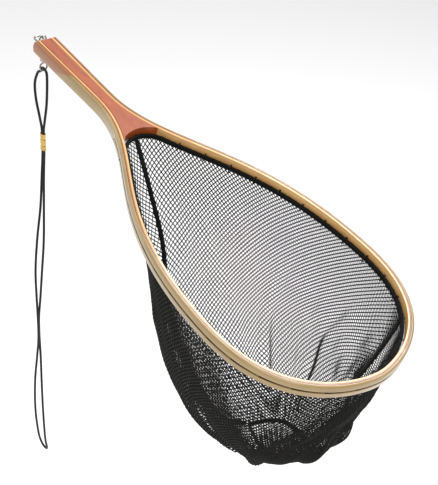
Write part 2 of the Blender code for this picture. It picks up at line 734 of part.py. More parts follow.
def seam_tape(name, line, f, mat):
    """A tape along a seam, as wide as the way from one side to the other."""
    fine = line(np.linspace(0, 1, 60))
    length = np.linalg.norm(np.diff(fine, axis=0), axis=1).sum()
    room = TAPE_WIDTH / 2 + TAPE_THICK + BAG_GAP
    shares = np.linspace(0, 1 - room / length, 21)
    middle = line(shares)
    near = 0.02 if f == 0 else 0.98
    across = bag_wall("right", near, shares) - bag_wall("left", near, shares)
    across /= np.linalg.norm(across, axis=1)[:, None]
    half = TAPE_WIDTH / 2
    grid = [[m + a * w for w in (-half, 0, half)] for m, a in zip(middle, across)]
    sheet(name, grid, mat, TAPE_THICK)


def keel_loop(count=36):
    """The keel's seam, back end, right branch, front end, left branch, evenly spaced."""
    right = KEEL_LINES["right"](np.linspace(0, 1, 40))
    left = KEEL_LINES["left"](np.linspace(1, 0, 40))
    loop = np.vstack([right, left[1:]])
    even = np.linspace(0, 1, count, endpoint=False)
    along = lengths_along(loop)
    return np.stack([np.interp(even, along, loop[:, k]) for k in range(3)], axis=-1)


def bottom_seam_tape(mat):
    """The tape round the keel: a band on edge."""
    loop = keel_loop()
    slope = np.roll(loop, -1, axis=0) - np.roll(loop, 1, axis=0)
    out = np.stack([slope[:, 1], -slope[:, 0]], axis=1)
    out /= np.linalg.norm(out, axis=1)[:, None]
    bm = bmesh.new()
    a, b = TAPE_THICK / 2, TAPE_WIDTH / 2
    rings = []
    for p, o in zip(loop, out):
        rings.append([(*(p[:2] + o * a * x), p[2] + b * z)
                      for x, z in ((-1, -1), (1, -1), (1, 1), (-1, 1))])
    ring_sweep(bm, rings, closed=True)
    mesh_object("bottom_seam_tape", bm, mat)


def bag_bottom(mat):
    """The boat-shaped bottom inside the keel's tape, sagging a little."""
    inside = TAPE_THICK / 2 + 2 * BAG_GAP + MESH_THICK
    loop = keel_loop(24)
    middle = loop.mean(axis=0)
    away = loop - middle
    size = np.linalg.norm(away, axis=1)[:, None]
    bm = bmesh.new()
    rings = []
    for share in (1.0, 0.72, 0.4):
        ring = middle + away * share * (1 - 1.6 * inside / size)
        ring[:, 2] -= KEEL_SAG * (1 - share ** 2)
        rings.append([bm.verts.new(Vector(q)) for q in ring])
    lowest = bm.verts.new(Vector(middle - np.array([0, 0, KEEL_SAG])))
    for a, b in zip(rings[:-1], rings[1:]):
        for i in range(len(a)):
            j = (i + 1) % len(a)
            bm.faces.new((a[i], a[j], b[j], b[i]))
    ring = rings[-1]
    for i in range(len(ring)):
        bm.faces.new((ring[i], ring[(i + 1) % len(ring)], lowest))
    mesh = bpy.data.meshes.new("bag_bottom")
    bmesh.ops.recalc_face_normals(bm, faces=bm.faces)
    bm.to_mesh(mesh)
    bm.free()
    thing = link("bag_bottom", mesh, mat)
    mod = thing.modifiers.new("thickness", "SOLIDIFY")
    mod.thickness = MESH_THICK
    mod.offset = 0


# ---- hardware -------------------------------------------------------------------------
def torus(name, radius, wire_radius, centre, axis, mat, parent=None, around_count=28, sides=8):
    """A wire ring."""
    data = bpy.data.curves.new(name, "CURVE")
    turn = Vector(axis).to_track_quat("Z", "Y")
    data.dimensions = "3D"
    data.bevel_depth = wire_radius
    data.bevel_resolution = sides // 2 - 2
    line = data.splines.new("POLY")
    line.points.add(around_count - 1)
    for k in range(around_count):
        a = 2 * math.pi * k / around_count
        p = Vector(centre) + turn @ Vector((radius * math.cos(a), radius * math.sin(a), 0))
        line.points[k].co = (*p, 1.0)
    line.use_cyclic_u = True
    return link(name, data, mat, parent)


def screw_eye(mat, frame):
    """The ring lies in the hoop's plane, its shank runs into the handle's end."""
    ring = as_mesh(torus("screw_eye", EYE_RADIUS, EYE_WIRE, (EYE_U, 0, 0), (0, 0, 1), mat, frame))
    shank = cylinder("shank", EYE_WIRE, (EYE_U + EYE_RADIUS, 0, 0), (EYE_SHANK_IN, 0, 0), sides=12)
    shank.parent = frame
    cut(ring, [shank], "UNION")
    return ring


HANG = to_world(EYE_U, EYE_RADIUS, 0)


def snap_frame():
    """The snap hangs from the left side of the screw eye's ring, over the ring's wire."""
    frame = bpy.data.objects.new("snap_frame", None)
    bpy.context.collection.objects.link(frame)
    frame.location = HANG
    return frame


def snap_hook(mat, frame):
    """Hook and boss in one: the hook arches over the ring's wire, its boss has a slot for
    the gate's knuckle, ears for its pin, and a window for the swivel's head."""
    arch = EYE_WIRE + METAL_CLEAR - (HOOK_RADIUS - HOOK_WIRE)
    route = [(0, 0.0012, BOSS_TOP - 0.0015), (0, 0.0020, BOSS_TOP + 0.0010),
             (0, 0.0036, BOSS_TOP + 0.0040), (0, HOOK_RADIUS, BOSS_TOP + 0.0080)]
    for a in np.linspace(0, math.pi, 9):
        route.append((0, HOOK_RADIUS * math.cos(a), arch + HOOK_RADIUS * math.sin(a)))
    route.append((0, -HOOK_RADIUS, arch - HOOK_TIP_DROP))
    hook = as_mesh(wire("snap_hook", route, HOOK_WIRE, mat, frame, resolution=3))
    boss = cylinder("boss", BOSS_RADIUS, (0, 0, BOSS_BOTTOM), (0, 0, BOSS_TOP), sides=20)
    boss.parent = frame
    cut(hook, [boss], "UNION")
    slot_half = KNUCKLE_WIDTH / 2 + METAL_CLEAR
    knuckle_room = KNUCKLE_RADIUS + METAL_CLEAR
    slot = block("gate_slot", (-slot_half, -BOSS_RADIUS - 0.002, PIN_Z - knuckle_room),
                 (slot_half, PIN_Y + knuckle_room, BOSS_TOP + 0.0012))
    ears = cylinder("pin_hole", PIN_RADIUS + METAL_CLEAR, (-0.006, PIN_Y, PIN_Z),
                    (0.006, PIN_Y, PIN_Z), sides=10)
    floor = BOSS_BOTTOM + BOSS_FLOOR
    window_top = floor + STEM_HEAD_THICK + 2 * METAL_CLEAR
    room = STEM_HEAD_RADIUS + METAL_CLEAR
    window = block("head_window", (-room, -room, floor), (BOSS_RADIUS + 0.002, room, window_top))
    stem = cylinder("stem_hole", STEM_RADIUS + METAL_CLEAR, (0, 0, BOSS_BOTTOM - 0.001),
                    (0, 0, floor + 0.0005), sides=12)
    for cutter in (slot, ears, window, stem):
        cutter.parent = frame
    cut(hook, [slot, ears, window, stem])
    return hook


def gate(mat, frame):
    """The sprung gate: a knuckle on the pin and a bar up to the hook's nose."""
    pivot = bpy.data.objects.new("gate_pivot", None)
    bpy.context.collection.objects.link(pivot)
    pivot.parent = frame
    pivot.location = (0, PIN_Y, PIN_Z)
    arch = EYE_WIRE + METAL_CLEAR - (HOOK_RADIUS - HOOK_WIRE)
    nose = arch - HOOK_TIP_DROP - METAL_CLEAR
    bar = [(0, -0.0004, 0.0002), (0, -0.0008, 0.0022), (0, -HOOK_RADIUS - PIN_Y, 0.0060),
           (0, -HOOK_RADIUS - PIN_Y, nose - PIN_Z)]
    arm = as_mesh(wire("snap_gate", bar, GATE_WIRE, mat, pivot, resolution=2))
    half = KNUCKLE_WIDTH / 2
    knuckle = cylinder("knuckle", KNUCKLE_RADIUS, (-half, 0, 0), (half, 0, 0), sides=14)
    knuckle.parent = pivot
    cut(arm, [knuckle], "UNION")
    bore = cylinder("knuckle_bore", PIN_RADIUS + METAL_CLEAR, (-0.004, 0, 0), (0.004, 0, 0),
                    sides=10)
    bore.parent = pivot
    cut(arm, [bore])
    return arm


def gate_pin(mat, frame):
    reach = math.sqrt(BOSS_RADIUS ** 2 - PIN_Y ** 2) + 0.0002
    pin = cylinder("gate_pin", PIN_RADIUS, (-reach, PIN_Y, PIN_Z), (reach, PIN_Y, PIN_Z), sides=10)
    pin.hide_render = False
    pin.display_type = "TEXTURED"
    pin.data.materials.append(mat)
    pin.parent = frame


def swivel_eye(mat, frame):
    """Headed stem that turns in the boss, with the ring that the lanyard goes through."""
    top = BOSS_BOTTOM - SWIVEL_NECK
    centre = (0, 0, top - SWIVEL_WIRE - SWIVEL_RADIUS)
    ring = as_mesh(torus("swivel_eye", SWIVEL_RADIUS, SWIVEL_WIRE, centre, (1, 0, 0), mat, frame))
    floor = BOSS_BOTTOM + BOSS_FLOOR
    base = floor + METAL_CLEAR
    head = cylinder("stem_head", STEM_HEAD_RADIUS, (0, 0, base), (0, 0, base + STEM_HEAD_THICK),
                    sides=16)
    stem = cylinder("stem", STEM_RADIUS, (0, 0, top - SWIVEL_WIRE), (0, 0, base + 0.0003), sides=12)
    collar_top = BOSS_BOTTOM - METAL_CLEAR
    collar = cylinder("collar", STEM_HEAD_RADIUS, (0, 0, collar_top - 0.0009), (0, 0, collar_top),
                      sides=16)
    for part in (head, stem, collar):
        part.parent = frame
    cut(ring, [stem, head, collar], "UNION")
    return ring


# ---- lanyard --------------------------------------------------------------------------
SWIVEL_BOTTOM = BOSS_BOTTOM - SWIVEL_NECK - 2 * SWIVEL_WIRE - 2 * SWIVEL_RADIUS
CORD_TOP = SWIVEL_BOTTOM + 2 * SWIVEL_WIRE + METAL_CLEAR + CORD_RADIUS
FERRULE_LOW = FERRULE_TOP - FERRULE_LENGTH


def lanyard_route():
    """The loop's own points below the ring's wire: through the swivel's ring, down the two
    legs into the ferrule, and on down the two strands to the wrist loop's end."""
    s = STRAND_HALF
    drift = 0.0035
    front = [(0.0045, 0, CORD_TOP - 0.0018), (0.0066, 0.0002, CORD_TOP - 0.0066),
             (0.0074, -0.0004, -0.062), (0.0066, -0.0014, -0.086), (0.0032, -0.0026, -0.110),
             (s, -drift, FERRULE_TOP + 0.003), (s, -drift, FERRULE_LOW - 0.003),
             (s + 0.0004, -0.0054, -0.190), (s + 0.0010, -0.0070, -0.235),
             (s + 0.0030, -0.0100, -0.285), (s + 0.0026, -0.0140, -0.335),
             (0.0012, -0.0158, -0.380), (-0.0020, -0.0170, -0.415), (-0.0022, -0.0172, -0.450),
             (0.0008, -0.0182, -0.485), (0.0040, -0.0200, -0.530), (0.0060, -0.0205, -0.585),
             (0.0068, -0.0190, -0.640), (0.0062, -0.0160, -0.6620)]
    bottom = [(0.0, -0.0146, -0.6690)]
    back = [(-0.0062, -0.0172, -0.6610), (-0.0066, -0.0222, -0.636), (-0.0060, -0.0262, -0.585),
            (-0.0044, -0.0258, -0.530), (-0.0020, -0.0226, -0.485), (0.0012, -0.0212, -0.450),
            (0.0014, -0.0210, -0.415), (-0.0018, -0.0198, -0.380), (-0.0042, -0.0186, -0.335),
            (-0.0052, -0.0136, -0.285), (-s - 0.0012, -0.0084, -0.235),
            (-s - 0.0002, -0.0058, -0.190), (-s, -drift, FERRULE_LOW - 0.003),
            (-s, -drift, FERRULE_TOP + 0.003), (-0.0070, -0.0030, -0.108),
            (-0.0160, -0.0020, -0.086), (-0.0190, -0.0010, -0.066), (-0.0130, -0.0002, -0.050),
            (-0.0066, 0.0, CORD_TOP - 0.0060), (-0.0040, 0, CORD_TOP - 0.0013)]
    return [(0, 0, CORD_TOP)] + front + bottom + back


def lanyard(mats):
    line = smooth_line(lanyard_route(), CORD_POINTS)
    line = line + np.array(HANG)
    wire("lanyard_cord", line, CORD_RADIUS, mats["lanyard"], resolution=2, cyclic=True)


def stadium(half_gap, radius, count=8):
    """A slot outline round two circles half_gap either side of the middle."""
    spots = []
    for side in (1, -1):
        for a in np.linspace(-math.pi / 2, math.pi / 2, count):
            spots.append((side * half_gap + side * radius * math.cos(a), side * radius * math.sin(a)))
    return spots


def ferrule(mat):
    """The crimped sleeve round both strands, with a gap all round them."""
    drift = 0.0035
    inner = CORD_RADIUS + METAL_CLEAR
    bm = bmesh.new()
    rings = []
    for radius, z in ((inner, FERRULE_TOP), (inner + FERRULE_WALL, FERRULE_TOP),
                      (inner + FERRULE_WALL, FERRULE_LOW), (inner, FERRULE_LOW)):
        rings.append([(HANG.x + x, HANG.y - drift + y, HANG.z + z)
                      for x, y in stadium(STRAND_HALF, radius)])
    ring_sweep(bm, rings, closed=True)
    mesh_object("ferrule", bm, mat)


# ---- the whole net --------------------------------------------------------------------
def main():
    clear_scene()
    frame = net_frame()
    mats = {
        "core": material("red_core", (0.50, 0.17, 0.04), 0.22),
        "outer": material("olive_ash", (0.52, 0.40, 0.17), 0.25),
        "accent": material("red_accent", (0.45, 0.14, 0.04), 0.25),
        "inner": material("pale_ash", (0.74, 0.55, 0.27), 0.25),
        "mesh": material("black_mesh", (0.02, 0.02, 0.02), 0.7),
        "tape": material("black_tape", (0.012, 0.012, 0.012), 0.85),
        "cord": material("black_lacing", (0.015, 0.013, 0.012), 0.7),
        "nickel": material("nickel", (0.75, 0.73, 0.69), 0.2, 1.0),
        "lanyard": material("black_cord", (0.012, 0.012, 0.012), 0.6),
        "brass": material("brass", (0.78, 0.60, 0.28), 0.25, 1.0),
    }
    rail = hole_stations()
    handle_core(mats["core"], frame)
    outer = outer_strip(mats["outer"], frame)
    start = OUTER_THICK + GLUE
    accent = strip("accent_strip", start, start + ACCENT_THICK, mats["accent"], frame, 0)
    start += ACCENT_THICK + GLUE
    inner = strip("inner_strip", start, start + INNER_THICK, mats["inner"], frame, 0.0005)
    for lamination in (outer, accent, inner):
        cut(lamination, [hole_cutters(rail, frame), butt_cutter(frame)])
    rim_binding(mats["tape"], frame)
    lashing(mats, rail, frame)
    bag_sides(mats["mesh"])
    seam_tape("throat_seam_tape", THROAT_LINE, 0, mats["tape"])
    seam_tape("tip_seam_tape", TIP_LINE, 1, mats["tape"])
    bottom_seam_tape(mats["tape"])
    bag_bottom(mats["mesh"])
    screw_eye(mats["nickel"], frame)
    snap = snap_frame()
    snap_hook(mats["nickel"], snap)
    gate(mats["nickel"], snap)
    gate_pin(mats["nickel"], snap)
    swivel_eye(mats["nickel"], snap)
    lanyard(mats)
    ferrule(mats["brass"])


main()
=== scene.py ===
"""The looks of a wooden landing net: laminated hoop and handle, knotless black netting
laced into a groove, nickel snap and a corded wrist lanyard.

Metres, +Z up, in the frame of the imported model.  Wood is worked out in the net's own axes:
u from the butt to the tip, v across, n out of the top face.  Every new piece is a surface
computed as whole arrays: a function of two parameters, or a profile carried along a path.
"""

import math

import bpy
import numpy as np
from mathutils import Matrix, Vector


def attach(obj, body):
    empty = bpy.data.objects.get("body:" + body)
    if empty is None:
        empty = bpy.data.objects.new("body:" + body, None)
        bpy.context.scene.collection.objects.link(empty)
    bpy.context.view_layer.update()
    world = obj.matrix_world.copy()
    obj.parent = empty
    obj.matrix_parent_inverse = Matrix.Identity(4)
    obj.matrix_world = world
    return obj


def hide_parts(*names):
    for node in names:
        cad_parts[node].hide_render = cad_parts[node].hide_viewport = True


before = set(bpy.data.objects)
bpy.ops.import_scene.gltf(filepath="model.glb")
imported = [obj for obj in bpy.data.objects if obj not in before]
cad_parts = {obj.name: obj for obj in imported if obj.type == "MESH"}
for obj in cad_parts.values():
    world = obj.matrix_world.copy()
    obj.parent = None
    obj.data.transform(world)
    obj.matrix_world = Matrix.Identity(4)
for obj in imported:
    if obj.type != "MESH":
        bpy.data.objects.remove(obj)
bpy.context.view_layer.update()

# ---- sizes of the wood ----
PITCH = math.radians(12.6)
WOOD_LENGTH = 0.570
HALF_DEPTH = 0.0161 / 2
BUTT_HALF = 0.0146
BUTT_BULGE = 0.0020
BUTT_EASE = 0.0010
WAIST_HALF = 0.0134
WIDE_HALF = 0.1133
WAIST_U = 0.120
WIDE_U = 0.4417
THROAT_U = 0.182
OUTER_THICK = 0.0030
ACCENT_THICK = 0.0010
INNER_THICK = 0.0027
GLUE = 0.0003
LAMINATED = OUTER_THICK + ACCENT_THICK + INNER_THICK + 2 * GLUE
OUTER_ROUND = 0.0022
GRIP_U = 0.070
GROOVE_START_U = 0.176
GROOVE_WIDTH = 0.0024
GROOVE_DEPTH = 0.0016
FIRST_HOLE_U = 0.212
HOLE_PITCH = 0.031
HOLE_RADIUS = 0.0015            # drawn a little under the solid's holes
LACE_RADIUS = 0.00055
LACE_CLEAR = 0.0003
HEM_THICK = 0.0030
HEM_HEIGHT = 0.0056
HEM_MID_N = -0.0022
HEM_CLEAR = 2 * (LACE_RADIUS + LACE_CLEAR)
HEM_DEPTH = HEM_CLEAR * 0.55 + HEM_THICK / 2    # its middle, pulled in towards the wood

# ---- sizes of the bag ----
NET_PITCH = 0.0035              # from one strand to the next
NET_STRAND = 0.00062            # half width of a strand
NET_WEAVE = 0.00028             # how far strands pass over and under
BAG_TUCK = 2.3
SEAM_REACH = 2.0
TIP_SEAM_V = 0.076
BELLY_RIGHT = (-0.004, -0.010, -0.018)
BELLY_BACK = (-0.009, -0.009, 0.0)
KEEL_SAG = 0.006
BOTTOM_LENGTH = 0.106
KEEL_BACK = (0.395, 0.0, -0.305)
KEEL_FRONT = (0.482, 0.0, -0.260)
THROAT_SEAM = [(0.203, 0.0, -0.089), (0.231, 0.0, -0.149), (0.243, 0.0, -0.205),
               (0.258, 0.0, -0.262), (0.300, 0.0, -0.303), (0.350, 0.0, -0.326)]
TIP_SEAM = [(0.509, 0.062, -0.141), (0.505, 0.044, -0.167), (0.500, 0.032, -0.190),
            (0.506, 0.020, -0.217), (0.499, 0.008, -0.238)]
KEEL_RIGHT = [(0.430, -0.014, -0.303), (0.463, -0.020, -0.283)]
KEEL_LEFT = [(0.408, 0.010, -0.296), (0.428, 0.016, -0.284), (0.450, 0.013, -0.276)]
TAPE_HALF = 0.0030
TAPE_THICK = 0.0010

# ---- hardware and lanyard ----
EYE_U = -0.0125
EYE_RADIUS = 0.0052
EYE_WIRE = 0.00115
CORD_RADIUS = 0.00165
CORD_TOP = -0.03925             # the cord's middle over the swivel's ring, below the eye
FERRULE_TOP = -0.127
FERRULE_LENGTH = 0.023
FERRULE_WALL = 0.0007
STRAND_HALF = 0.00185
STRAND_DRIFT = 0.0035           # how far the two strands hang from the ring's middle
FLOOR_Z = -0.760
FLOOR_HALF = 14.0

# ---- view: azimuth, height and roll, how far off, and the picture's size and offset ----
VIEW_AZIMUTH = math.radians(45.9)
VIEW_HEIGHT = math.radians(33.2)
VIEW_ROLL = math.radians(5.0)
VIEW_AIM_U = 0.342
VIEW_FAR = 1.050
SENSOR = 36
TALL = 485
FOCAL = 1029
OFF_CENTRE = (-8.2, -16.7)


# ---- the net's axes ----
def place(u, v, n):
    """World points of net coordinates: turn by the pitch about Y, from the grip's middle."""
    along, up = np.asarray(u) - GRIP_U, np.asarray(n) - HALF_DEPTH
    x = math.cos(PITCH) * along + math.sin(PITCH) * up
    z = -math.sin(PITCH) * along + math.cos(PITCH) * up
    return np.stack(np.broadcast_arrays(x, v, z), axis=-1)


BUTT = place(0.0, 0.0, 0.0)
HANG = place(EYE_U, EYE_RADIUS, 0.0)


# ---- camera ----
def camera():
    """A three-quarter view from above the near rail, rolled a little.  Back is the way from
    the aim to the eye; right and up are the level and upright ways turned by the roll."""
    back = np.array([math.sin(VIEW_AZIMUTH) * math.cos(VIEW_HEIGHT),
                     -math.cos(VIEW_AZIMUTH) * math.cos(VIEW_HEIGHT), math.sin(VIEW_HEIGHT)])
    level = np.array([math.cos(VIEW_AZIMUTH), math.sin(VIEW_AZIMUTH), 0.0])
    upright = np.cross(back, level)
    right = math.cos(VIEW_ROLL) * level + math.sin(VIEW_ROLL) * upright
    up = math.cos(VIEW_ROLL) * upright - math.sin(VIEW_ROLL) * level
    spot = place(VIEW_AIM_U, 0.0, 0.0) + back * VIEW_FAR
    data = bpy.data.cameras.new("camera")
    data.lens = FOCAL * SENSOR / TALL
    data.sensor_width = SENSOR
    data.shift_x, data.shift_y = (off / TALL for off in OFF_CENTRE)
    data.clip_start, data.clip_end = 0.01, 50
    thing = bpy.data.objects.new("camera", data)
    bpy.context.collection.objects.link(thing)
    turn = Matrix(np.stack([right, up, back], axis=1).tolist()).to_4x4()
    thing.matrix_world = Matrix.Translation(Vector(spot)) @ turn
    bpy.context.scene.camera = thing


# ---- meshes from arrays ----
def grid_quads(rows, columns, loop_rows, loop_columns):
    """Corners of the quads of a grid of points, as row and column numbers not yet wrapped."""
    i = np.arange(rows if loop_rows else rows - 1)
    j = np.arange(columns if loop_columns else columns - 1)
    i, j = (k.ravel() for k in np.meshgrid(i, j, indexing="ij"))
    return np.stack([i, i, i + 1, i + 1], axis=1), np.stack([j, j + 1, j + 1, j], axis=1)


def add_object(name, points, faces, mat, uv=None, smooth=40):
    """A mesh object of quads and triangles whose faces look outwards.  The sign of the
    volume, summed over triangles from the origin, says whether to turn them round."""
    points = np.asarray(points, float)
    tris = np.vstack([f[:, [0, k, k + 1]] for f in faces for k in range(1, f.shape[1] - 1)])
    a, b, c = (points[tris[:, k]] for k in range(3))
    turned = (a * np.cross(b, c)).sum() < 0
    lists = [f[:, ::-1].tolist() if turned else f.tolist() for f in faces]
    mesh = bpy.data.meshes.new(name)
    mesh.from_pydata(points.tolist(), [], sum(lists, []))
    if uv is not None:
        corners = np.vstack([(u[:, ::-1] if turned else u).reshape(-1, 2) for u in uv])
        layer = mesh.uv_layers.new(name="along")
        layer.data.foreach_set("uv", corners.ravel())
    mesh.shade_smooth()
    mesh.set_sharp_from_angle(angle=math.radians(smooth))
    mesh.materials.append(mat)
    mesh.update()
    thing = bpy.data.objects.new(name, mesh)
    bpy.context.collection.objects.link(thing)
    return thing


def swept(name, rings, mat, closed=False, smooth=40):
    """A tube of rings of points, rings x sides x 3.  Its UV map is metres along the tube
    and metres round it; open ends close with a fan."""
    rows, sides = rings.shape[:2]
    i, j = grid_quads(rows, sides, closed, True)
    quads = (i % rows) * sides + j % sides
    middle = rings.mean(axis=1)
    chain = np.vstack([middle, middle[:1]])
    along = np.r_[0, np.cumsum(np.linalg.norm(np.diff(chain, axis=0), axis=1))]
    ring = np.vstack([rings[rows // 2], rings[rows // 2][:1]])
    around = np.r_[0, np.cumsum(np.linalg.norm(np.diff(ring, axis=0), axis=1))]
    uv = [np.stack([along[i], around[j]], axis=-1)]
    faces, points = [quads], rings.reshape(-1, 3)
    if not closed:
        k = np.arange(sides)
        for row, centre, flip in ((0, len(points), False), (rows - 1, len(points) + 1, True)):
            edge = np.stack([row * sides + (k + 1) % sides, row * sides + k], axis=1)
            edge = edge[:, ::-1] if flip else edge
            faces.append(np.column_stack([edge, np.full(sides, centre)]))
            uv.append(np.stack([np.full((sides, 3), along[row]),
                                np.stack([around[k], around[k + 1], 0 * k], axis=1)], axis=-1))
        points = np.vstack([points, middle[0], middle[-1]])
    return add_object(name, points, faces, mat, uv, smooth)


def unit(v):
    """Vectors divided by their lengths."""
    return v / np.maximum(np.linalg.norm(v, axis=-1, keepdims=True), 1e-12)


def tangents(path, closed=False):
    """Unit slopes of a path by central differences."""
    if closed:
        return unit(np.roll(path, -1, axis=0) - np.roll(path, 1, axis=0))
    return unit(np.gradient(path, axis=0))


def round_rings(path, radius, reference, sides=12, closed=False):
    """Circles of a radius (one number or one per point) square to a path; the first spoke
    is as near the reference direction as it can be."""
    slope = tangents(path, closed)
    side = unit(np.cross(slope, reference))
    up = np.cross(side, slope)
    turn = np.linspace(0, 2 * math.pi, sides, endpoint=False)
    radius = np.broadcast_to(radius, len(path))[:, None, None]
    spokes = np.cos(turn)[None, :, None] * up[:, None] + np.sin(turn)[None, :, None] * side[:, None]
    return path[:, None] + radius * spokes


def lengths_along(points):
    """Distance along a line of points, from 0 to 1."""
    far = np.r_[0, np.cumsum(np.linalg.norm(np.diff(points, axis=0), axis=1))]
    return far / far[-1]


def catmull(points, steps, closed=False):
    """Points of a Catmull-Rom curve: each span is a cubic whose end slopes are half the
    chord between the neighbours of each end."""
    p = np.asarray(points, float)
    p = np.vstack([p[-1:], p, p[:2]]) if closed else np.vstack([2 * p[0] - p[1], p,
                                                                2 * p[-1] - p[-2]])
    t = np.linspace(0, 1, steps, endpoint=False)[None, :, None]
    a, b, c, d = (p[k:len(p) - 3 + k, None] for k in range(4))
    spans = 0.5 * (2 * b + (c - a) * t + (2 * a - 5 * b + 4 * c - d) * t ** 2
                   + (3 * b - a - 3 * c + d) * t ** 3)
    line = spans.reshape(-1, p.shape[1])
    return line if closed else np.vstack([line, p[-2:-1]])


def line_through(points):
    """A function of 0 to 1 that runs evenly along a smooth curve through the points."""
    fine = catmull(points, 24)
    along = lengths_along(fine)
    return lambda f: np.stack([np.interp(f, along, fine[:, k]) for k in range(3)], axis=-1)


# ---- shader graphs ----
class Value:
    """A socket of a shader graph: arithmetic on it adds Math nodes."""

    def __init__(self, graph, socket):
        self.graph, self.socket = graph, socket

    def math(self, operation, *others):
        """A Math node of this value and others."""
        values = {k: v for k, v in enumerate((self, *others))}
        return self.graph.node("ShaderNodeMath", {"operation": operation}, values)

    def __add__(self, other):
        return self.math("ADD", other)

    def __sub__(self, other):
        return self.math("SUBTRACT", other)

    def __mul__(self, other):
        return self.math("MULTIPLY", other)

    __radd__ = __add__
    __rmul__ = __mul__

    def __rsub__(self, other):
        return (self * -1.0) + other

    def limited(self):
        """Kept between 0 and 1."""
        return self.math("MAXIMUM", 0.0).math("MINIMUM", 1.0)


class Finish:
    """A Principled material under construction."""

    def __init__(self, name, **constants):
        self.mat = bpy.data.materials.new(name)
        self.mat.use_nodes = True
        self.tree = self.mat.node_tree
        self.shader = self.tree.nodes["Principled BSDF"]
        for socket, value in constants.items():
            self.shader.inputs[socket.replace("_", " ")].default_value = value

    def node(self, kind, settings=None, values=None, out=0):
        """Any node: its settings first, then the values or links of its sockets."""
        made = self.tree.nodes.new(kind)
        for key, value in (settings or {}).items():
            if key == "stops":
                ramp = made.color_ramp
                for spot, colour in value[1:-1]:
                    ramp.elements.new(spot)
                for element, (spot, colour) in zip(ramp.elements, value):
                    element.position, element.color = spot, (*colour, 1)
            else:
                setattr(made, key, value)
        for key, value in (values or {}).items():
            if isinstance(value, Value):
                self.tree.links.new(value.socket, made.inputs[key])
            else:
                made.inputs[key].default_value = value
        return Value(self, made.outputs[out])

    def coords(self, out="Object", scale=(1, 1, 1), turn=(0, 0, 0)):
        """Coordinates on the object or the UV map, scaled and turned."""
        raw = self.node("ShaderNodeTexCoord", out=out)
        return self.node("ShaderNodeMapping", None,
                         {"Vector": raw, "Scale": scale, "Rotation": turn})

    def noise(self, where, scale, detail=3.0, rough=0.5):
        """Cloudy noise, its scale in lumps to the metre."""
        return self.node("ShaderNodeTexNoise", None, {"Vector": where, "Scale": scale,
                                                      "Detail": detail, "Roughness": rough})

    def wave(self, where, scale, warp=0.0, direction="X", detail=2.0):
        """Bands along one way, bent by noise."""
        return self.node("ShaderNodeTexWave", {"bands_direction": direction},
                         {"Vector": where, "Scale": scale, "Distortion": warp,
                          "Detail": detail}, out="Fac")

    def mix(self, share, a, b):
        """Colour a where the share is 0 and b where it is 1."""
        return self.node("ShaderNodeMix", {"data_type": "RGBA"}, {0: share, 6: a, 7: b}, out=2)

    def ramp(self, share, stops):
        """A colour between the stops either side of the share."""
        return self.node("ShaderNodeValToRGB", {"stops": stops}, {0: share})

    def set(self, socket, value):
        """Link a value to the shader."""
        self.tree.links.new(value.socket, self.shader.inputs[socket])

    def bump(self, height, depth, strength=1.0):
        """Relief of a depth in metres where the height goes from 0 to 1."""
        self.set("Normal", self.node("ShaderNodeBump", None,
                                     {"Height": height, "Distance": depth,
                                      "Strength": strength}))


def wood(name, dark, light, streak, out="UV", turn=(0, 0, 0), top_face_shade=None):
    """Varnished wood: long fibres, slow bands of growth, small pores and a clear coat that
    is even.  On UV the fibres follow the lamination.  A painted shade darkens the grip's top
    face to a deep red: it is full where the turned height is great and the turned length small."""
    f = Finish(name, Coat_Weight=1.0, Coat_Roughness=0.06, Coat_IOR=1.5)
    along = f.coords(out, (1, 14, 14), turn)
    fibre = f.noise(along, 55.0, 6.0, 0.62)
    band = f.noise(f.coords(out, (1, 9, 9), turn), 9.0, 3.0, 0.55)
    pores = f.noise(f.coords(out, (1, 22, 22), turn), 160.0, 2.0, 0.6)
    blotch = f.noise(f.coords(out), 14.0, 2.0)
    share = (fibre * 0.55 + band * 0.75 - 0.15).limited()
    base = f.ramp(share, [(0.22, dark), (0.52, light), (0.80, streak)])
    speck = ((0.40 - pores) * 7.0).limited()
    base = f.mix(speck * 0.35, base, (*[c * 0.45 for c in dark], 1))
    base = f.mix(((blotch - 0.45) * 1.2).limited() * 0.35, base, (*dark, 1))
    # painted shade: the grip's top face is coloured a darker red in place of the shade on it
    if top_face_shade:
        raw = f.coords("Object", (1, 1, 1), (0, PITCH, 0))
        parts = f.node("ShaderNodeSeparateXYZ", None, {0: raw})
        along, height = (Value(f, parts.socket.node.outputs[k]) for k in (0, 2))
        # mask of the painted shade: the top face, fading out past the grip
        top = ((height + (HALF_DEPTH - 0.0052)) * 500.0).limited()
        grip = ((0.16 - along) * 14.0).limited()
        base = f.mix(top * grip * 0.85, base, (*top_face_shade, 1))
    f.set("Base Color", base)
    f.set("Roughness", fibre * 0.25 + 0.22)
    f.bump(fibre * 0.6 - speck * 0.5, 0.00012, 0.35)
    return f.mat


def yarn(name, colour, pale, size, rough=0.6, sheen=0.02):
    """Black synthetic yarn: fine noise for its filaments and slow patches of wear."""
    f = Finish(name, Sheen_Weight=sheen, Sheen_Roughness=0.5, Specular_IOR_Level=0.15)
    where = f.coords("Object")
    hair = f.noise(where, 1.0 / size, 4.0, 0.7)
    patch = f.noise(where, 40.0, 2.0)
    f.set("Base Color", f.mix((hair * 0.7 + patch * 0.5 - 0.35).limited(), (*colour, 1), (*pale, 1)))
    f.set("Roughness", hair * 0.25 + (rough - 0.12))
    f.bump(hair, size * 0.5, 0.6)
    return f.mat


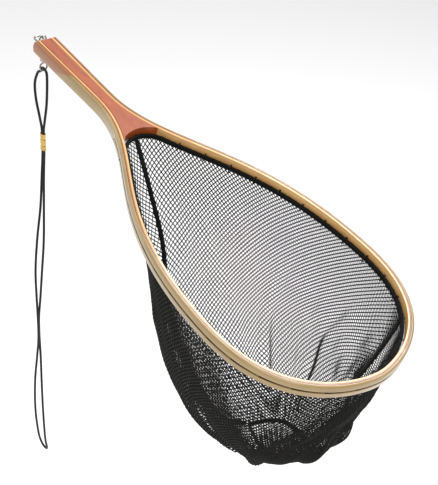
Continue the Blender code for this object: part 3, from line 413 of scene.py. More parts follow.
def twill(name, colour, pale, rib):
    """Woven tape: ribs across it and finer threads along it, from its UV map in metres."""
    f = Finish(name, Sheen_Weight=0.03, Sheen_Roughness=0.5, Specular_IOR_Level=0.15)
    where = f.coords("UV")
    across = f.wave(where, 1.0 / rib / 6.28 * 3.14, 0.4, "DIAGONAL")
    thread = f.wave(where, 2.0 / rib, 0.3, "Y")
    fuzz = f.noise(f.coords("Object"), 1400.0, 3.0)
    weave = across * 0.6 + thread * 0.4
    f.set("Base Color", f.mix((weave * 0.6 + fuzz * 0.5 - 0.2).limited(), (*colour, 1), (*pale, 1)))
    f.set("Roughness", 0.9 - weave * 0.2)
    f.bump(weave + fuzz * 0.3, 0.0002, 0.8)
    return f.mat


def braid(name, colour, pale, length, round_metres):
    """A braided sheath: two families of diagonal strands, from the UV map in metres."""
    f = Finish(name, Sheen_Weight=0.03, Sheen_Roughness=0.4, Specular_IOR_Level=0.25)
    raw = f.coords("UV")
    parts = f.node("ShaderNodeSeparateXYZ", None, {0: raw})
    flow = Value(f, parts.socket.node.outputs[0]) * (6.2832 / length)
    turn = Value(f, parts.socket.node.outputs[1]) * (6.2832 * 6 / round_metres)
    one = (flow + turn).math("SINE")
    two = (flow - turn).math("SINE")
    height = one.math("MAXIMUM", two) * 0.5 + 0.5
    fuzz = f.noise(f.coords("Object"), 1800.0, 3.0)
    f.set("Base Color", f.mix((height * 0.7 + fuzz * 0.3 - 0.25).limited(), (*colour, 1), (*pale, 1)))
    f.set("Roughness", 0.62 - height * 0.2)
    f.bump(height + fuzz * 0.25, 0.00018, 0.7)
    return f.mat


def metal(name, colour, dull, rough):
    """Plated metal: smudges, fine scuffs and dulling, from object coordinates."""
    f = Finish(name, Metallic=1.0)
    where = f.coords("Object")
    smudge = f.noise(where, 220.0, 4.0, 0.6)
    scuff = f.noise(f.coords("Object", (1, 1, 0.15)), 2600.0, 3.0, 0.7)
    f.set("Base Color", f.mix((smudge * 1.4 - 0.45).limited(), (*colour, 1), (*dull, 1)))
    f.set("Roughness", smudge * 0.22 + scuff * 0.12 + (rough - 0.12))
    f.bump(scuff, 0.00002, 0.4)
    return f.mat


# ---- the outline of the wood ----
GRIP_CURVE = [(-BUTT_BULGE, -BUTT_HALF), (WAIST_U / 3, -BUTT_HALF),
              (WAIST_U * 2 / 3, -WAIST_HALF), (WAIST_U, -WAIST_HALF)]
FLARE_CURVE = [(WAIST_U, -WAIST_HALF), (WAIST_U + 0.0968, -WAIST_HALF),
               (WIDE_U - 0.1788, -WIDE_HALF), (WIDE_U, -WIDE_HALF)]
TIP_CURVE = [(WIDE_U, -WIDE_HALF), (WIDE_U + 0.1100, -WIDE_HALF), (WOOD_LENGTH, -0.0250),
             (WOOD_LENGTH, 0)]


def bezier(control, t):
    """Points and inward normals of a cubic through four control points."""
    p = np.array(control, float)
    t = np.atleast_1d(t)[:, None]
    s = 1 - t
    point = p[0] * s ** 3 + 3 * p[1] * s * s * t + 3 * p[2] * s * t * t + p[3] * t ** 3
    slope = unit((p[1] - p[0]) * s * s + 2 * (p[2] - p[1]) * s * t + (p[3] - p[2]) * t * t)
    return point, np.stack([-slope[:, 1], slope[:, 0]], axis=1)


def both_rails(curves, counts):
    """Points and inward normals along the curves on the right and back on the left."""
    runs = [bezier(c, np.linspace(0, 1, k + 1)[:-1]) for c, k in zip(curves, counts)]
    runs.append(bezier(curves[-1], 1.0))
    point, normal = (np.vstack([run[k] for run in runs]) for k in range(2))
    flip = np.array([1, -1])
    return np.vstack([point, point[-2::-1] * flip]), np.vstack([normal, normal[-2::-1] * flip])


POINT, NORMAL = both_rails([GRIP_CURVE, FLARE_CURVE, TIP_CURVE], [40, 150, 110])
HOOP_POINT, HOOP_NORMAL = both_rails([FLARE_CURVE, TIP_CURVE], [300, 220])
HOOP_ALONG = np.r_[0, np.cumsum(np.linalg.norm(np.diff(HOOP_POINT, axis=0), axis=1))]


def on_hoop(s, depth, n):
    """World points a distance s along the outline, a depth in from it, at a height n."""
    p = np.stack([np.interp(s, HOOP_ALONG, HOOP_POINT[:, k]) for k in range(2)], axis=-1)
    m = unit(np.stack([np.interp(s, HOOP_ALONG, HOOP_NORMAL[:, k]) for k in range(2)], axis=-1))
    q = p + m * np.asarray(depth)[..., None]
    return place(q[..., 0], q[..., 1], n)


def hole_places():
    """Distances of the lacing holes along the outline, evenly spaced about the tip."""
    middle = HOOP_ALONG[-1] / 2
    first = HOOP_ALONG[np.argmax(HOOP_POINT[:, 0] > FIRST_HOLE_U)]
    gaps = round(2 * (middle - first) / HOLE_PITCH)
    return np.linspace(first, 2 * middle - first, gaps + 1)


HOLES = hole_places()


def touch_circle(t):
    """Circle centred on the axis that touches the inner face at t: centre and radius."""
    point, normal = bezier(FLARE_CURVE, t)
    start = point[0] + normal[0] * LAMINATED
    radius = -start[1] / normal[0, 1]
    return start[0] + radius * normal[0, 0], radius


def throat():
    """Where the throat's arc leaves the rails, with its centre and radius."""
    tries = np.linspace(0.02, 0.9, 4000)
    starts = np.array([np.subtract(*touch_circle(t)) for t in tries])
    t = float(tries[np.argmax(starts > THROAT_U)])
    return t, *touch_circle(t)


T_HORN, ARC_U, ARC_RADIUS = throat()


# ---- wood ----
def butt_shift(u, n):
    """The butt is rounded from top to bottom: the end stands back towards its arrises,
    fading out over the first 25 mm."""
    deep = BUTT_BULGE + BUTT_EASE
    radius = (HALF_DEPTH ** 2 + deep ** 2) / (2 * deep)
    back = radius - np.sqrt(radius ** 2 - np.minimum(np.abs(n), HALF_DEPTH) ** 2)
    return back * np.clip(1 - (u + BUTT_BULGE) / 0.025, 0, 1)


def rounded(near, far, top, r, steps=4):
    """Half a strip's profile, near face to far face over the top, with rounded arrises."""
    a = np.linspace(0, math.pi / 2, steps)
    first = [(near + r[0] * (1 - math.cos(k)), top - r[0] * (1 - math.sin(k))) for k in a]
    last = [(far - r[1] * (1 - math.cos(k)), top - r[1] * (1 - math.sin(k))) for k in a[::-1]]
    return first + last


def strip(name, near, far, mat, r, groove=False):
    """A lamination: its profile carried along the outline, depths in from it."""
    upper = rounded(near, far, HALF_DEPTH, r)
    profile = np.array(upper + [(d, -n) for d, n in upper[::-1]])
    sink = np.zeros(len(profile))
    if groove:
        a = np.linspace(0, math.pi, 9)
        trough = np.stack([0 * a, -GROOVE_WIDTH / 2 * np.cos(a)], axis=1)
        profile = np.vstack([profile, trough])
        sink = np.r_[sink, GROOVE_DEPTH * np.sin(a) ** 0.5]
    u = POINT[:, 0]
    open_groove = np.clip((u - GROOVE_START_U) / 0.006, 0, 1)[:, None]
    depth = profile[None, :, 0] + sink[None] * open_groove
    flat = POINT[:, None] + NORMAL[:, None] * depth[..., None]
    n = np.broadcast_to(profile[None, :, 1], depth.shape)
    rings = place(flat[..., 0] + butt_shift(flat[..., 0], n), flat[..., 1], n)
    return swept(name, rings, mat, smooth=50)


def drill(thing):
    """Round lacing holes through a lamination, cut with pins at the hole places."""
    side = 16
    ends = np.stack([on_hoop(HOLES, np.full(len(HOLES), d), 0.0)
                     for d in (-0.003, LAMINATED + 0.003)])
    way = unit(ends[1] - ends[0])
    up = np.broadcast_to(place(0, 0, 1) - place(0, 0, 0), way.shape)
    across = np.cross(way, up)
    turn = np.linspace(0, 2 * math.pi, side, endpoint=False)
    spoke = HOLE_RADIUS * (np.cos(turn)[:, None, None] * up + np.sin(turn)[:, None, None] * across)
    points = (ends[:, None] + spoke[None]).reshape(-1, 3)
    count = len(HOLES)
    k = np.arange(side)
    h = np.arange(count)[:, None]
    a, b = (k * count + h).ravel(), ((k + 1) % side * count + h).ravel()
    walls = np.stack([a, b, b + side * count, a + side * count], axis=1)
    caps = np.vstack([(k * count + h), (k * count + h)[:, ::-1] + side * count])
    mesh = bpy.data.meshes.new("pins")
    mesh.from_pydata(points.tolist(), [], walls.tolist() + caps.tolist())
    pins = bpy.data.objects.new("pins", mesh)
    bpy.context.collection.objects.link(pins)
    cut = thing.modifiers.new("holes", "BOOLEAN")
    cut.operation, cut.solver, cut.object = "DIFFERENCE", "EXACT", pins
    bpy.context.view_layer.update()
    graph = bpy.context.evaluated_depsgraph_get()
    thing.data = bpy.data.meshes.new_from_object(thing.evaluated_get(graph))
    thing.modifiers.clear()
    bpy.data.objects.remove(pins, do_unlink=True)


def core(mat):
    """The red core.  Rows run across: the first is straight, at the butt, and the last is
    the throat's arc, with the rows between blending from one to the other."""
    rows, columns = 90, 41
    depth = LAMINATED + GLUE
    t = np.linspace(0, 1, 30)[:-1]
    grip, grip_in = bezier(GRIP_CURVE, t)
    fine = np.linspace(0, T_HORN, 500)
    face, face_in = bezier(FLARE_CURVE, fine)
    face = face + face_in * depth
    angles = np.linspace(math.pi, math.pi / 3, 500)
    arc = np.stack([ARC_U + ARC_RADIUS * np.cos(angles), -ARC_RADIUS * np.sin(angles)], axis=1)
    away = np.linalg.norm(face[None] - arc[:, None], axis=2)
    stop = int(np.argmax(away.min(axis=1) < 0.0012))
    side = np.vstack([grip + grip_in * depth, face[:away[stop].argmin()]])
    along = lengths_along(side)
    r = np.linspace(0, 1, rows)
    side = np.stack([np.interp(r, along, side[:, k]) for k in range(2)], axis=1)
    c = np.linspace(-1, 1, columns)
    angle = math.pi - np.abs(c) * (math.pi - angles[stop])
    end_u = ARC_U + ARC_RADIUS * np.cos(angle)
    end_v = np.sign(c) * ARC_RADIUS * np.sin(angle)
    lead = (end_u - THROAT_U) / (end_u[0] - THROAT_U)
    spread = (r ** 3)[:, None]
    middle_u = -BUTT_BULGE + (THROAT_U + BUTT_BULGE) * r
    u = middle_u[:, None] + (side[:, 0] - middle_u)[:, None] * lead
    v = -side[:, 1][:, None] * ((1 - spread) * c + spread * end_v / end_v[-1])
    n = np.array([HALF_DEPTH, -HALF_DEPTH])[:, None, None] + 0 * u
    steps = np.linspace(1, -1, 9)[1:-1] * HALF_DEPTH
    edge_i = np.r_[np.zeros(columns - 1, int), np.arange(rows - 1), np.full(columns - 1, rows - 1),
                   np.arange(rows - 1, 0, -1)]
    edge_j = np.r_[np.arange(columns - 1), np.full(rows - 1, columns - 1),
                   np.arange(columns - 1, 0, -1), np.zeros(rows - 1, int)]
    rim_u, rim_v = u[edge_i, edge_j], v[edge_i, edge_j]
    wall_n = steps[:, None] + 0 * rim_u
    top = place(u + butt_shift(u, n[0]), v, n[0]).reshape(-1, 3)
    low = place(u + butt_shift(u, n[1]), v, n[1]).reshape(-1, 3)
    wall = place(rim_u + butt_shift(rim_u, wall_n), rim_v + 0 * wall_n, wall_n).reshape(-1, 3)
    i, j = grid_quads(rows, columns, False, False)
    sheet_quads = i * columns + j
    size, edge = rows * columns, edge_i * columns + edge_j
    count = len(edge)
    levels = np.vstack([edge, 2 * size + np.arange(len(steps) * count).reshape(-1, count),
                        size + edge])
    i, j = grid_quads(len(levels), count, False, True)
    wall_quads = levels[i, j % count]
    return add_object("handle_core_wood", np.vstack([top, low, wall]),
                      [sheet_quads[:, ::-1], sheet_quads + size, wall_quads], mat, smooth=50)


# ---- hem and lacing ----
def inner_loop(depth):
    """Closed loop at a depth inside the opening: throat's arc, right rail, tip, left rail."""
    start = int(np.argmin(np.abs(HOOP_ALONG - np.interp(T_HORN, np.linspace(0, 1, 301),
                                                        HOOP_ALONG[:301]))))
    rail = (HOOP_POINT + HOOP_NORMAL * (LAMINATED + depth))[start:len(HOOP_POINT) - start]
    first = math.atan2(-rail[0][1], rail[0][0] - ARC_U)
    sweep = np.linspace(math.pi, first, 40)[:-1]
    radius = ARC_RADIUS - depth
    right = np.stack([ARC_U + radius * np.cos(sweep), -radius * np.sin(sweep)], axis=1)
    loop = np.vstack([right, rail, right[:0:-1] * [1, -1]])
    even = np.linspace(0, 1, 900, endpoint=False)
    closed = np.vstack([loop, loop[:1]])
    along = lengths_along(closed)
    return np.stack([np.interp(even, along, closed[:, k]) for k in range(2)], axis=1)


def hem(mat):
    """The rolled hem: an oval carried round the opening, drawn in at each lacing and
    puffed between, with small puckers."""
    loop = inner_loop(HEM_DEPTH)
    slope = tangents(loop, True)
    inward = np.stack([-slope[:, 1], slope[:, 0]], axis=1)
    spots = on_hoop(HOLES, np.full(len(HOLES), LAMINATED), 0.0)
    middle = place(loop[:, 0], loop[:, 1], 0.0)
    near = np.linalg.norm(middle[:, None] - spots[None], axis=2).min(axis=1)
    tied = np.exp(-(near / 0.0035) ** 2)
    k = np.arange(len(loop))
    pucker = 1 + 0.05 * np.sin(k * 1.9) + 0.04 * np.sin(k * 0.83 + 1)
    turn = np.linspace(0, 2 * math.pi, 14, endpoint=False)
    across = (HEM_THICK / 2 + 0.0006) * (pucker * (1 - 0.22 * tied))[:, None] * np.cos(turn)
    tall = (HEM_HEIGHT / 2 + 0.0004) * (pucker * (1 - 0.18 * tied))[:, None] * np.sin(turn)
    flat = loop[:, None] + inward[:, None] * across[..., None]
    return swept("hem", place(flat[..., 0], flat[..., 1], HEM_MID_N + tall), mat, True, 80)


def lacing(mat):
    """The cord: in the groove between holes, in through each hole and round the hem."""
    step = LACE_RADIUS + LACE_CLEAR
    lie = GROOVE_DEPTH - step
    rise = HOLE_RADIUS - LACE_RADIUS
    top = HEM_MID_N + HEM_HEIGHT / 2 + step
    low = HEM_MID_N - HEM_HEIGHT / 2 - step
    behind = LAMINATED + LACE_CLEAR + LACE_RADIUS
    beyond = LAMINATED + HEM_CLEAR + HEM_THICK + step
    gap = HOLES[1] - HOLES[0]
    stitch = np.array([(-0.0016, lie, rise * 0.6), (0, GROOVE_DEPTH + 0.0004, rise),
                       (0, behind - 0.0006, rise), (0, behind + 0.0008, top),
                       (0, beyond - 0.0004, top), (0, beyond, (top + low) / 2),
                       (0, beyond - 0.0004, low), (0, behind + 0.0003, low),
                       (0, behind, low + 0.0006), (0, behind, -rise - 0.0002),
                       (0, GROOVE_DEPTH + 0.0004, -rise), (0.0016, lie, -rise * 0.6),
                       (gap / 3, lie, -rise * 0.2), (2 * gap / 3, lie, rise * 0.2)])
    route = (HOLES[:, None, None] * [1, 0, 0] + stitch[None]).reshape(-1, 3)[:-2]
    fine = catmull(route, 4)
    path = on_hoop(fine[:, 0], fine[:, 1], fine[:, 2])
    ahead = on_hoop(fine[:, 0] + 1e-4, fine[:, 1], fine[:, 2])
    inside = on_hoop(fine[:, 0], fine[:, 1] + 1e-4, fine[:, 2])
    up = place(0, 0, 1) - place(0, 0, 0)
    reference = unit(unit(ahead - path) + unit(inside - path) + up)
    return swept("lacing", round_rings(path, LACE_RADIUS, reference, 8), mat, smooth=80)


# ---- bag ----
def from_butt(points):
    """World points of places given from the middle of the butt."""
    return [BUTT + np.array(p) for p in points]


def bag_rim():
    """The top edge of the bag: throat, right rail, tip, left rail, throat."""
    loop = inner_loop(HEM_DEPTH)
    rim = place(loop[:, 0], loop[:, 1], HEM_MID_N - HEM_HEIGHT / 2 + 0.0008)
    return np.vstack([rim, rim[:1]])


RIM = bag_rim()
RIM_ALONG = lengths_along(RIM)


def rim_at(f):
    """World points at shares f of the way round the bag's top edge."""
    return np.stack([np.interp(f, RIM_ALONG, RIM[:, k]) for k in range(3)], axis=-1)


LATE = np.linspace(0.5, 1, 4001)
SEAM_ALONG = float(LATE[np.argmax(rim_at(LATE)[:, 1] > TIP_SEAM_V)])
ENDS = from_butt([KEEL_BACK, KEEL_FRONT])
THROAT_LINE = line_through([rim_at(0.0)] + from_butt(THROAT_SEAM) + [ENDS[0]])
TIP_LINE = line_through([rim_at(SEAM_ALONG)] + from_butt(TIP_SEAM) + [ENDS[1]])
KEEL_LINES = {"right": line_through([ENDS[0]] + from_butt(KEEL_RIGHT) + [ENDS[1]]),
              "left": line_through([ENDS[0]] + from_butt(KEEL_LEFT) + [ENDS[1]])}

# Folds of each side: where on it (share along, share down) the fold starts and ends, how
# wide it is and how far it stands out.
FOLDS = {"left": [(0.58, 0.02, 0.36, 0.90, 0.022, 0.0065), (0.84, 0.05, 0.60, 0.92, 0.022, 0.0065),
                  (0.10, 0.08, 0.30, 0.55, 0.020, 0.0030), (0.24, 0.02, 0.30, 0.70, 0.030, 0.0020),
                  (0.97, 0.30, 0.90, 0.95, 0.020, 0.0060)],
         "right": [(0.46, 0.35, 0.36, 0.98, 0.020, 0.0060), (0.66, 0.40, 0.56, 0.98, 0.022, 0.0055),
                   (0.20, 0.30, 0.16, 0.98, 0.022, 0.0045), (0.90, 0.05, 0.93, 0.90, 0.022, 0.0080),
                   (0.82, 0.40, 0.80, 0.98, 0.022, 0.0050)]}


def hung(side, f, t):
    """Straight down from the rim at t = 0, then in to the keel at t = 1."""
    share = f * SEAM_ALONG if side == "right" else 1 - f * (1 - SEAM_ALONG)
    top, low = rim_at(share), KEEL_LINES[side](f)
    return top + (low - top) * np.stack([t ** BAG_TUCK, t ** BAG_TUCK, t], axis=-1)


def swell(f, t, f_mid, t_mid, f_wide, t_wide):
    """A smooth hump round one spot of a side, flat at the side's edges."""
    hump = np.exp(-((f - f_mid) / f_wide) ** 2 - ((t - t_mid) / t_wide) ** 2)
    return hump * np.sin(math.pi * f) ** 0.5 * np.sin(math.pi * t) ** 0.5


def smooth_side(side, f, t):
    """A side without folds: hung from the rim and drawn to the seams at both ends."""
    at_throat = THROAT_LINE(t) - hung(side, 0 * f, t)
    at_tip = TIP_LINE(t) - hung(side, 0 * f + 1, t)
    spot = hung(side, f, t)
    spot = spot + at_throat * ((1 - f) ** SEAM_REACH)[..., None]
    spot = spot + at_tip * (f ** SEAM_REACH)[..., None]
    if side == "right":
        spot = spot + swell(f, t, 0.20, 0.82, 0.16, 0.20)[..., None] * np.array(BELLY_RIGHT)
        spot = spot + swell(f, t, 0.12, 0.42, 0.12, 0.25)[..., None] * np.array(BELLY_BACK)
    return spot


def wall_normal(side, f, t, step=0.004):
    """Outward unit normals of a side from differences of the smooth surface."""
    f0, f1 = np.clip(f - step, 0, 1), np.clip(f + step, 0, 1)
    t0, t1 = np.clip(t - step, 0, 1), np.clip(t + step, 0, 1)
    normal = np.cross(smooth_side(side, f1, t) - smooth_side(side, f0, t),
                      smooth_side(side, f, t1) - smooth_side(side, f, t0))
    return unit(normal) * (-1 if side == "right" else 1)


def folded_side(side, f, t):
    """The side with its folds: each is a ridge across a slanting line, growing downwards
    and fading at its ends, over slow ripples that vanish at the rim and seams."""
    f, t = np.clip(f, 0, 1), np.clip(t, 0, 1)
    height = 0.0016 * np.sin(21 * f + 3 * t) * np.sin(math.pi * t)
    height = height + 0.0011 * np.sin(47 * f - 9 * t + 1) * t * (1 - t) * 3
    height = height + 0.0005 * np.sin(110 * f + 31 * t) * np.sin(math.pi * t) ** 2
    for f0, t0, f1, t1, wide, tall in FOLDS[side]:
        way = np.clip((t - t0) / (t1 - t0), 0, 1)
        ridge = np.exp(-((f - f0 - (f1 - f0) * way) / wide) ** 2)
        ends = np.clip((t - t0) / 0.12, 0, 1) * np.clip((t1 - t) / 0.10, 0, 1)
        height = height + tall * (0.35 + 0.65 * way) * ridge * ends
    edge = np.clip(np.minimum(f, 1 - f) / 0.02, 0, 1) * np.clip(np.minimum(t, 1 - t) / 0.03, 0, 1)
    return smooth_side(side, f, t) + wall_normal(side, f, t) * (height * edge)[..., None]


def netting(name, surface, width_at, height, mat):
    """Diagonal strands over and under each other on a surface.  Lattice crossings (i, j)
    lie at x = (i - j) p / sqrt 2 and y = (i + j) p / sqrt 2 on the flat cloth; the surface
    takes the cloth's shares x / width + 1/2 and y / height.  Each strand has a diamond
    ring of four points at each crossing, and quads between neighbouring rings."""
    step = NET_PITCH / math.sqrt(2)
    widest = max(width_at(np.linspace(0, 1, 60)))
    reach = int((widest / 2 + height) / step) + 3
    i, j = np.meshgrid(np.arange(-reach, reach), np.arange(-reach, reach), indexing="ij")
    y = (i + j) * step / height
    x = (i - j) * step / width_at(np.clip(y, 0, 1)) + 0.5
    inside = (x >= 0) & (x <= 1) & (y >= 0) & (y <= 1)
    grown = inside.copy()
    for axis in (0, 1):
        for way in (-1, 1):
            grown |= np.roll(inside, way, axis=axis)
    keep = np.flatnonzero(grown.ravel())
    number = np.full(grown.size, -1)
    number[keep] = np.arange(len(keep))
    number = number.reshape(grown.shape)
    f, t = x.ravel()[keep], y.ravel()[keep]
    spot = surface(np.clip(f, 0, 1), np.clip(t, 0, 1))
    wide = width_at(np.clip(t, 0, 1))
    d = 0.3 * step
    right = surface(np.clip(f + d / wide, 0, 1), np.clip(t, 0, 1))
    left = surface(np.clip(f - d / wide, 0, 1), np.clip(t, 0, 1))
    down = surface(np.clip(f, 0, 1), np.clip(t + d / height, 0, 1))
    rise = surface(np.clip(f, 0, 1), np.clip(t - d / height, 0, 1))
    over, under = unit(right - left), unit(down - rise)
    normal = unit(np.cross(over, under))
    sign = np.where((i + j) % 2 == 0, 1.0, -1.0).ravel()[keep][:, None]
    inner = inside.ravel()[keep]
    points, faces = [], []
    for family, (axis, way, lift) in enumerate(((0, over + under, sign), (1, under - over, -sign))):
        way = unit(way)
        across = np.cross(normal, way)
        middle = spot + normal * lift * NET_WEAVE
        ring = np.stack([middle + normal * NET_STRAND, middle + across * NET_STRAND,
                         middle - normal * NET_STRAND, middle - across * NET_STRAND], axis=1)
        points.append(ring.reshape(-1, 3))
        after = np.roll(number, -1, axis=axis).ravel()[keep]
        here = np.arange(len(keep))
        live = (after >= 0) & (inner | inner[np.maximum(after, 0)])
        a, b = here[live] * 4 + family * 4 * len(keep), after[live] * 4 + family * 4 * len(keep)
        for k in range(4):
            m = (k + 1) % 4
            faces.append(np.stack([a + k, a + m, b + m, b + k], axis=1))
        starts = np.zeros(len(keep), bool)
        stops = np.zeros(len(keep), bool)
        starts[here[live]] = True
        stops[after[live]] = True
        base = here * 4 + family * 4 * len(keep)
        for ends, order in ((starts & ~stops, (3, 2, 1, 0)), (stops & ~starts, (0, 1, 2, 3))):
            faces.append(np.stack([base[ends] + k for k in order], axis=1))
    points, quads = np.vstack(points), np.vstack(faces)
    used = np.unique(quads)
    renumber = np.zeros(len(points), int)
    renumber[used] = np.arange(len(used))
    return add_object(name, points[used], [renumber[quads]], mat, smooth=180)


def side_sizes(side):
    """Width of a side at each height, its height, and its area."""
    f, t = np.meshgrid(np.linspace(0, 1, 161), np.linspace(0, 1, 81), indexing="ij")
    spot = folded_side(side, f, t)
    rows = np.linalg.norm(np.diff(spot, axis=0), axis=2).sum(axis=0)
    height = float(np.linalg.norm(np.diff(spot, axis=1), axis=2).sum(axis=1).mean())
    a, b = np.diff(spot, axis=0)[:, :-1], np.diff(spot, axis=1)[:-1]
    area = float(np.linalg.norm(np.cross(a, b), axis=2).sum())
    return rows, height, area


def bag_side(side, mat):
    """One side's netting, its flat size (top edge, mean height) and its area."""
    rows, height, area = side_sizes(side)
    shares = np.linspace(0, 1, len(rows))
    thing = netting(f"netting_{side}", lambda f, t: folded_side(side, f, t),
                    lambda t: np.interp(t, shares, rows), height, mat)
    return thing, (float(rows[0]), height), area


def bag_floor(f, t):
    """The bottom between the keel's two branches, sagging in the middle."""
    right, left = KEEL_LINES["right"](t), KEEL_LINES["left"](t)
    spot = right + (left - right) * f[..., None]
    sag = KEEL_SAG * 4 * f * (1 - f) * np.sin(math.pi * t) ** 0.5
    return spot - sag[..., None] * np.array([0, 0, 1.0])


def bottom(mat):
    """The bottom's netting, its flat size and its area (mean gap times length)."""
    t = np.linspace(0, 1, 60)
    gaps = np.linalg.norm(KEEL_LINES["right"](t) - KEEL_LINES["left"](t), axis=1)
    thing = netting("netting_bottom", bag_floor,
                    lambda s: np.maximum(np.interp(s, t, gaps), 0.002), BOTTOM_LENGTH, mat)
    flat = (float(gaps.max()), BOTTOM_LENGTH)
    return thing, flat, float(gaps.mean() * BOTTOM_LENGTH)


def band(path, across, normal, half, thick, pucker=0.0):
    """Rings of a flat tape: a rounded oblong, half wide each way across, with its edges
    gathered a little along its length."""
    turn = np.linspace(0, 2 * math.pi, 16, endpoint=False)
    wide = np.sign(np.cos(turn)) * np.abs(np.cos(turn)) ** 0.5 * half
    tall = np.sign(np.sin(turn)) * np.abs(np.sin(turn)) ** 0.8 * thick
    k = np.arange(len(path))[:, None]
    wave = pucker * np.sin(k * 1.3) * (np.cos(turn) ** 2)[None] * np.sign(np.cos(turn))[None]
    return (path[:, None] + across[:, None] * wide[None, :, None]
            + normal[:, None] * (tall[None] + wave)[..., None])


def seam(name, line, f, mat):
    """A tape sewn over a seam of the bag, as wide as the way from one side to the other."""
    t = np.linspace(0, 0.985, 150)
    path = line(t)
    near = np.full(len(t), 0.03 if f == 0 else 0.97)
    across = unit(smooth_side("right", near, t) - smooth_side("left", near, t))
    normal = unit(np.cross(across, tangents(path)))
    return swept(name, band(path, across, normal, TAPE_HALF, TAPE_THICK, 0.0005), mat, smooth=60)


def keel_tape(mat):
    """The tape round the bottom, on edge."""
    t = np.linspace(0, 1, 80)
    loop = np.vstack([KEEL_LINES["right"](t), KEEL_LINES["left"](t[::-1])[1:-1]])
    slope = tangents(loop, True)
    up = np.broadcast_to([0.0, 0.0, 1.0], slope.shape)
    outward = unit(np.cross(slope, up))
    rings = band(loop, up, outward, TAPE_HALF, TAPE_THICK, 0.0004)
    return swept("keel_tape", rings, mat, True, 60)


# ---- lanyard ----
def lanyard_route():
    """The cord's own points below the screw eye's ring, from the swivel and back to it."""
    s, drift, low = STRAND_HALF, STRAND_DRIFT, FERRULE_TOP - FERRULE_LENGTH
    front = [(0.0045, 0, CORD_TOP - 0.0018), (0.0066, 0.0002, CORD_TOP - 0.0066),
             (0.0074, -0.0004, -0.062), (0.0066, -0.0014, -0.086), (0.0032, -0.0026, -0.110),
             (s, -drift, FERRULE_TOP + 0.003), (s, -drift, low - 0.003),
             (s + 0.0004, -0.0054, -0.190), (s + 0.0010, -0.0070, -0.235),
             (s + 0.0030, -0.0100, -0.285), (s + 0.0026, -0.0140, -0.335),
             (0.0012, -0.0158, -0.380), (-0.0020, -0.0170, -0.415), (-0.0022, -0.0172, -0.450),
             (0.0008, -0.0182, -0.485), (0.0040, -0.0200, -0.530), (0.0060, -0.0205, -0.585),
             (0.0068, -0.0190, -0.640), (0.0062, -0.0160, -0.6620)]
    end = [(0.0, -0.0146, -0.6690)]
    rear = [(-0.0062, -0.0172, -0.6610), (-0.0066, -0.0222, -0.636), (-0.0060, -0.0262, -0.585),
            (-0.0044, -0.0258, -0.530), (-0.0020, -0.0226, -0.485), (0.0012, -0.0212, -0.450),
            (0.0014, -0.0210, -0.415), (-0.0018, -0.0198, -0.380), (-0.0042, -0.0186, -0.335),
            (-0.0052, -0.0136, -0.285), (-s - 0.0012, -0.0084, -0.235),
            (-s - 0.0002, -0.0058, -0.190), (-s, -drift, low - 0.003),
            (-s, -drift, FERRULE_TOP + 0.003), (-0.0070, -0.0030, -0.108),
            (-0.0160, -0.0020, -0.086), (-0.0190, -0.0010, -0.066), (-0.0130, -0.0002, -0.050),
            (-0.0066, 0.0, CORD_TOP - 0.0060), (-0.0040, 0, CORD_TOP - 0.0013)]
    return np.array([(0, 0, CORD_TOP)] + front + end + rear) + HANG


def lanyard(mat):
    """The cord: circles square to the closed smooth curve through the route."""
    path = catmull(lanyard_route(), 14, closed=True)
    thing = swept("lanyard_braid", round_rings(path, CORD_RADIUS, (0.0, 1.0, 0.0), 16, True), mat,
                  True, 80)
    step = np.linalg.norm(np.diff(path, axis=0), axis=1)
    return thing, path, float(step.sum())


def ferrule(mat):
    """The crimped sleeve: a slot outline carried down a wall profile, outside and inside,
    with two crimps and rolled lips."""
    low = FERRULE_TOP - FERRULE_LENGTH
    z = np.linspace(FERRULE_TOP, low, 60)
    share = np.linspace(0, 1, 60)
    crimp = sum(np.exp(-((share - c) / 0.05) ** 2) for c in (0.3, 0.7))
    lip = sum(np.exp(-((share - c) / 0.03) ** 2) for c in (0.02, 0.98))
    inner = CORD_RADIUS + 0.0002
    outer = inner + FERRULE_WALL - 0.00035 * crimp + 0.0003 * lip
    radius = np.r_[outer, np.full(60, inner)]
    height = np.r_[z, z[::-1]]
    a = np.linspace(-math.pi / 2, math.pi / 2, 14)
    x = np.r_[np.cos(a), -np.cos(a)]
    y = np.r_[np.sin(a), -np.sin(a)]
    shift = np.r_[np.ones(14), -np.ones(14)] * STRAND_HALF
    rings = np.stack([HANG[0] + shift + radius[:, None] * x,
                      HANG[1] - STRAND_DRIFT + radius[:, None] * y,
                      HANG[2] + height[:, None] + 0 * x], axis=-1)
    return swept("ferrule_sleeve", rings, mat, True, 50)


def eye_ring(mat):
    """The screw eye: a ring of round wire, and its shank into the butt with a collar."""
    turn = np.linspace(0, 2 * math.pi, 72, endpoint=False)
    path = place(EYE_U + EYE_RADIUS * np.cos(turn), EYE_RADIUS * np.sin(turn), 0.0)
    up = place(0, 0, 1) - place(0, 0, 0)
    ring = swept("eye_ring", round_rings(path, EYE_WIRE, up, 18, True), mat, True, 80)
    u = np.linspace(EYE_U + EYE_RADIUS + 0.0002, 0.012, 60)
    collar = 0.0005 * np.exp(-((u + BUTT_BULGE + 0.0012) / 0.0009) ** 2)
    thread = 0.00012 * np.sin(u * 2 * math.pi / 0.0009) * (u > 0)
    shank = place(u, 0 * u, 0.0)
    return ring, swept("eye_shank", round_rings(shank, EYE_WIRE * 0.98 + collar + thread, up, 18),
                       mat, smooth=80)


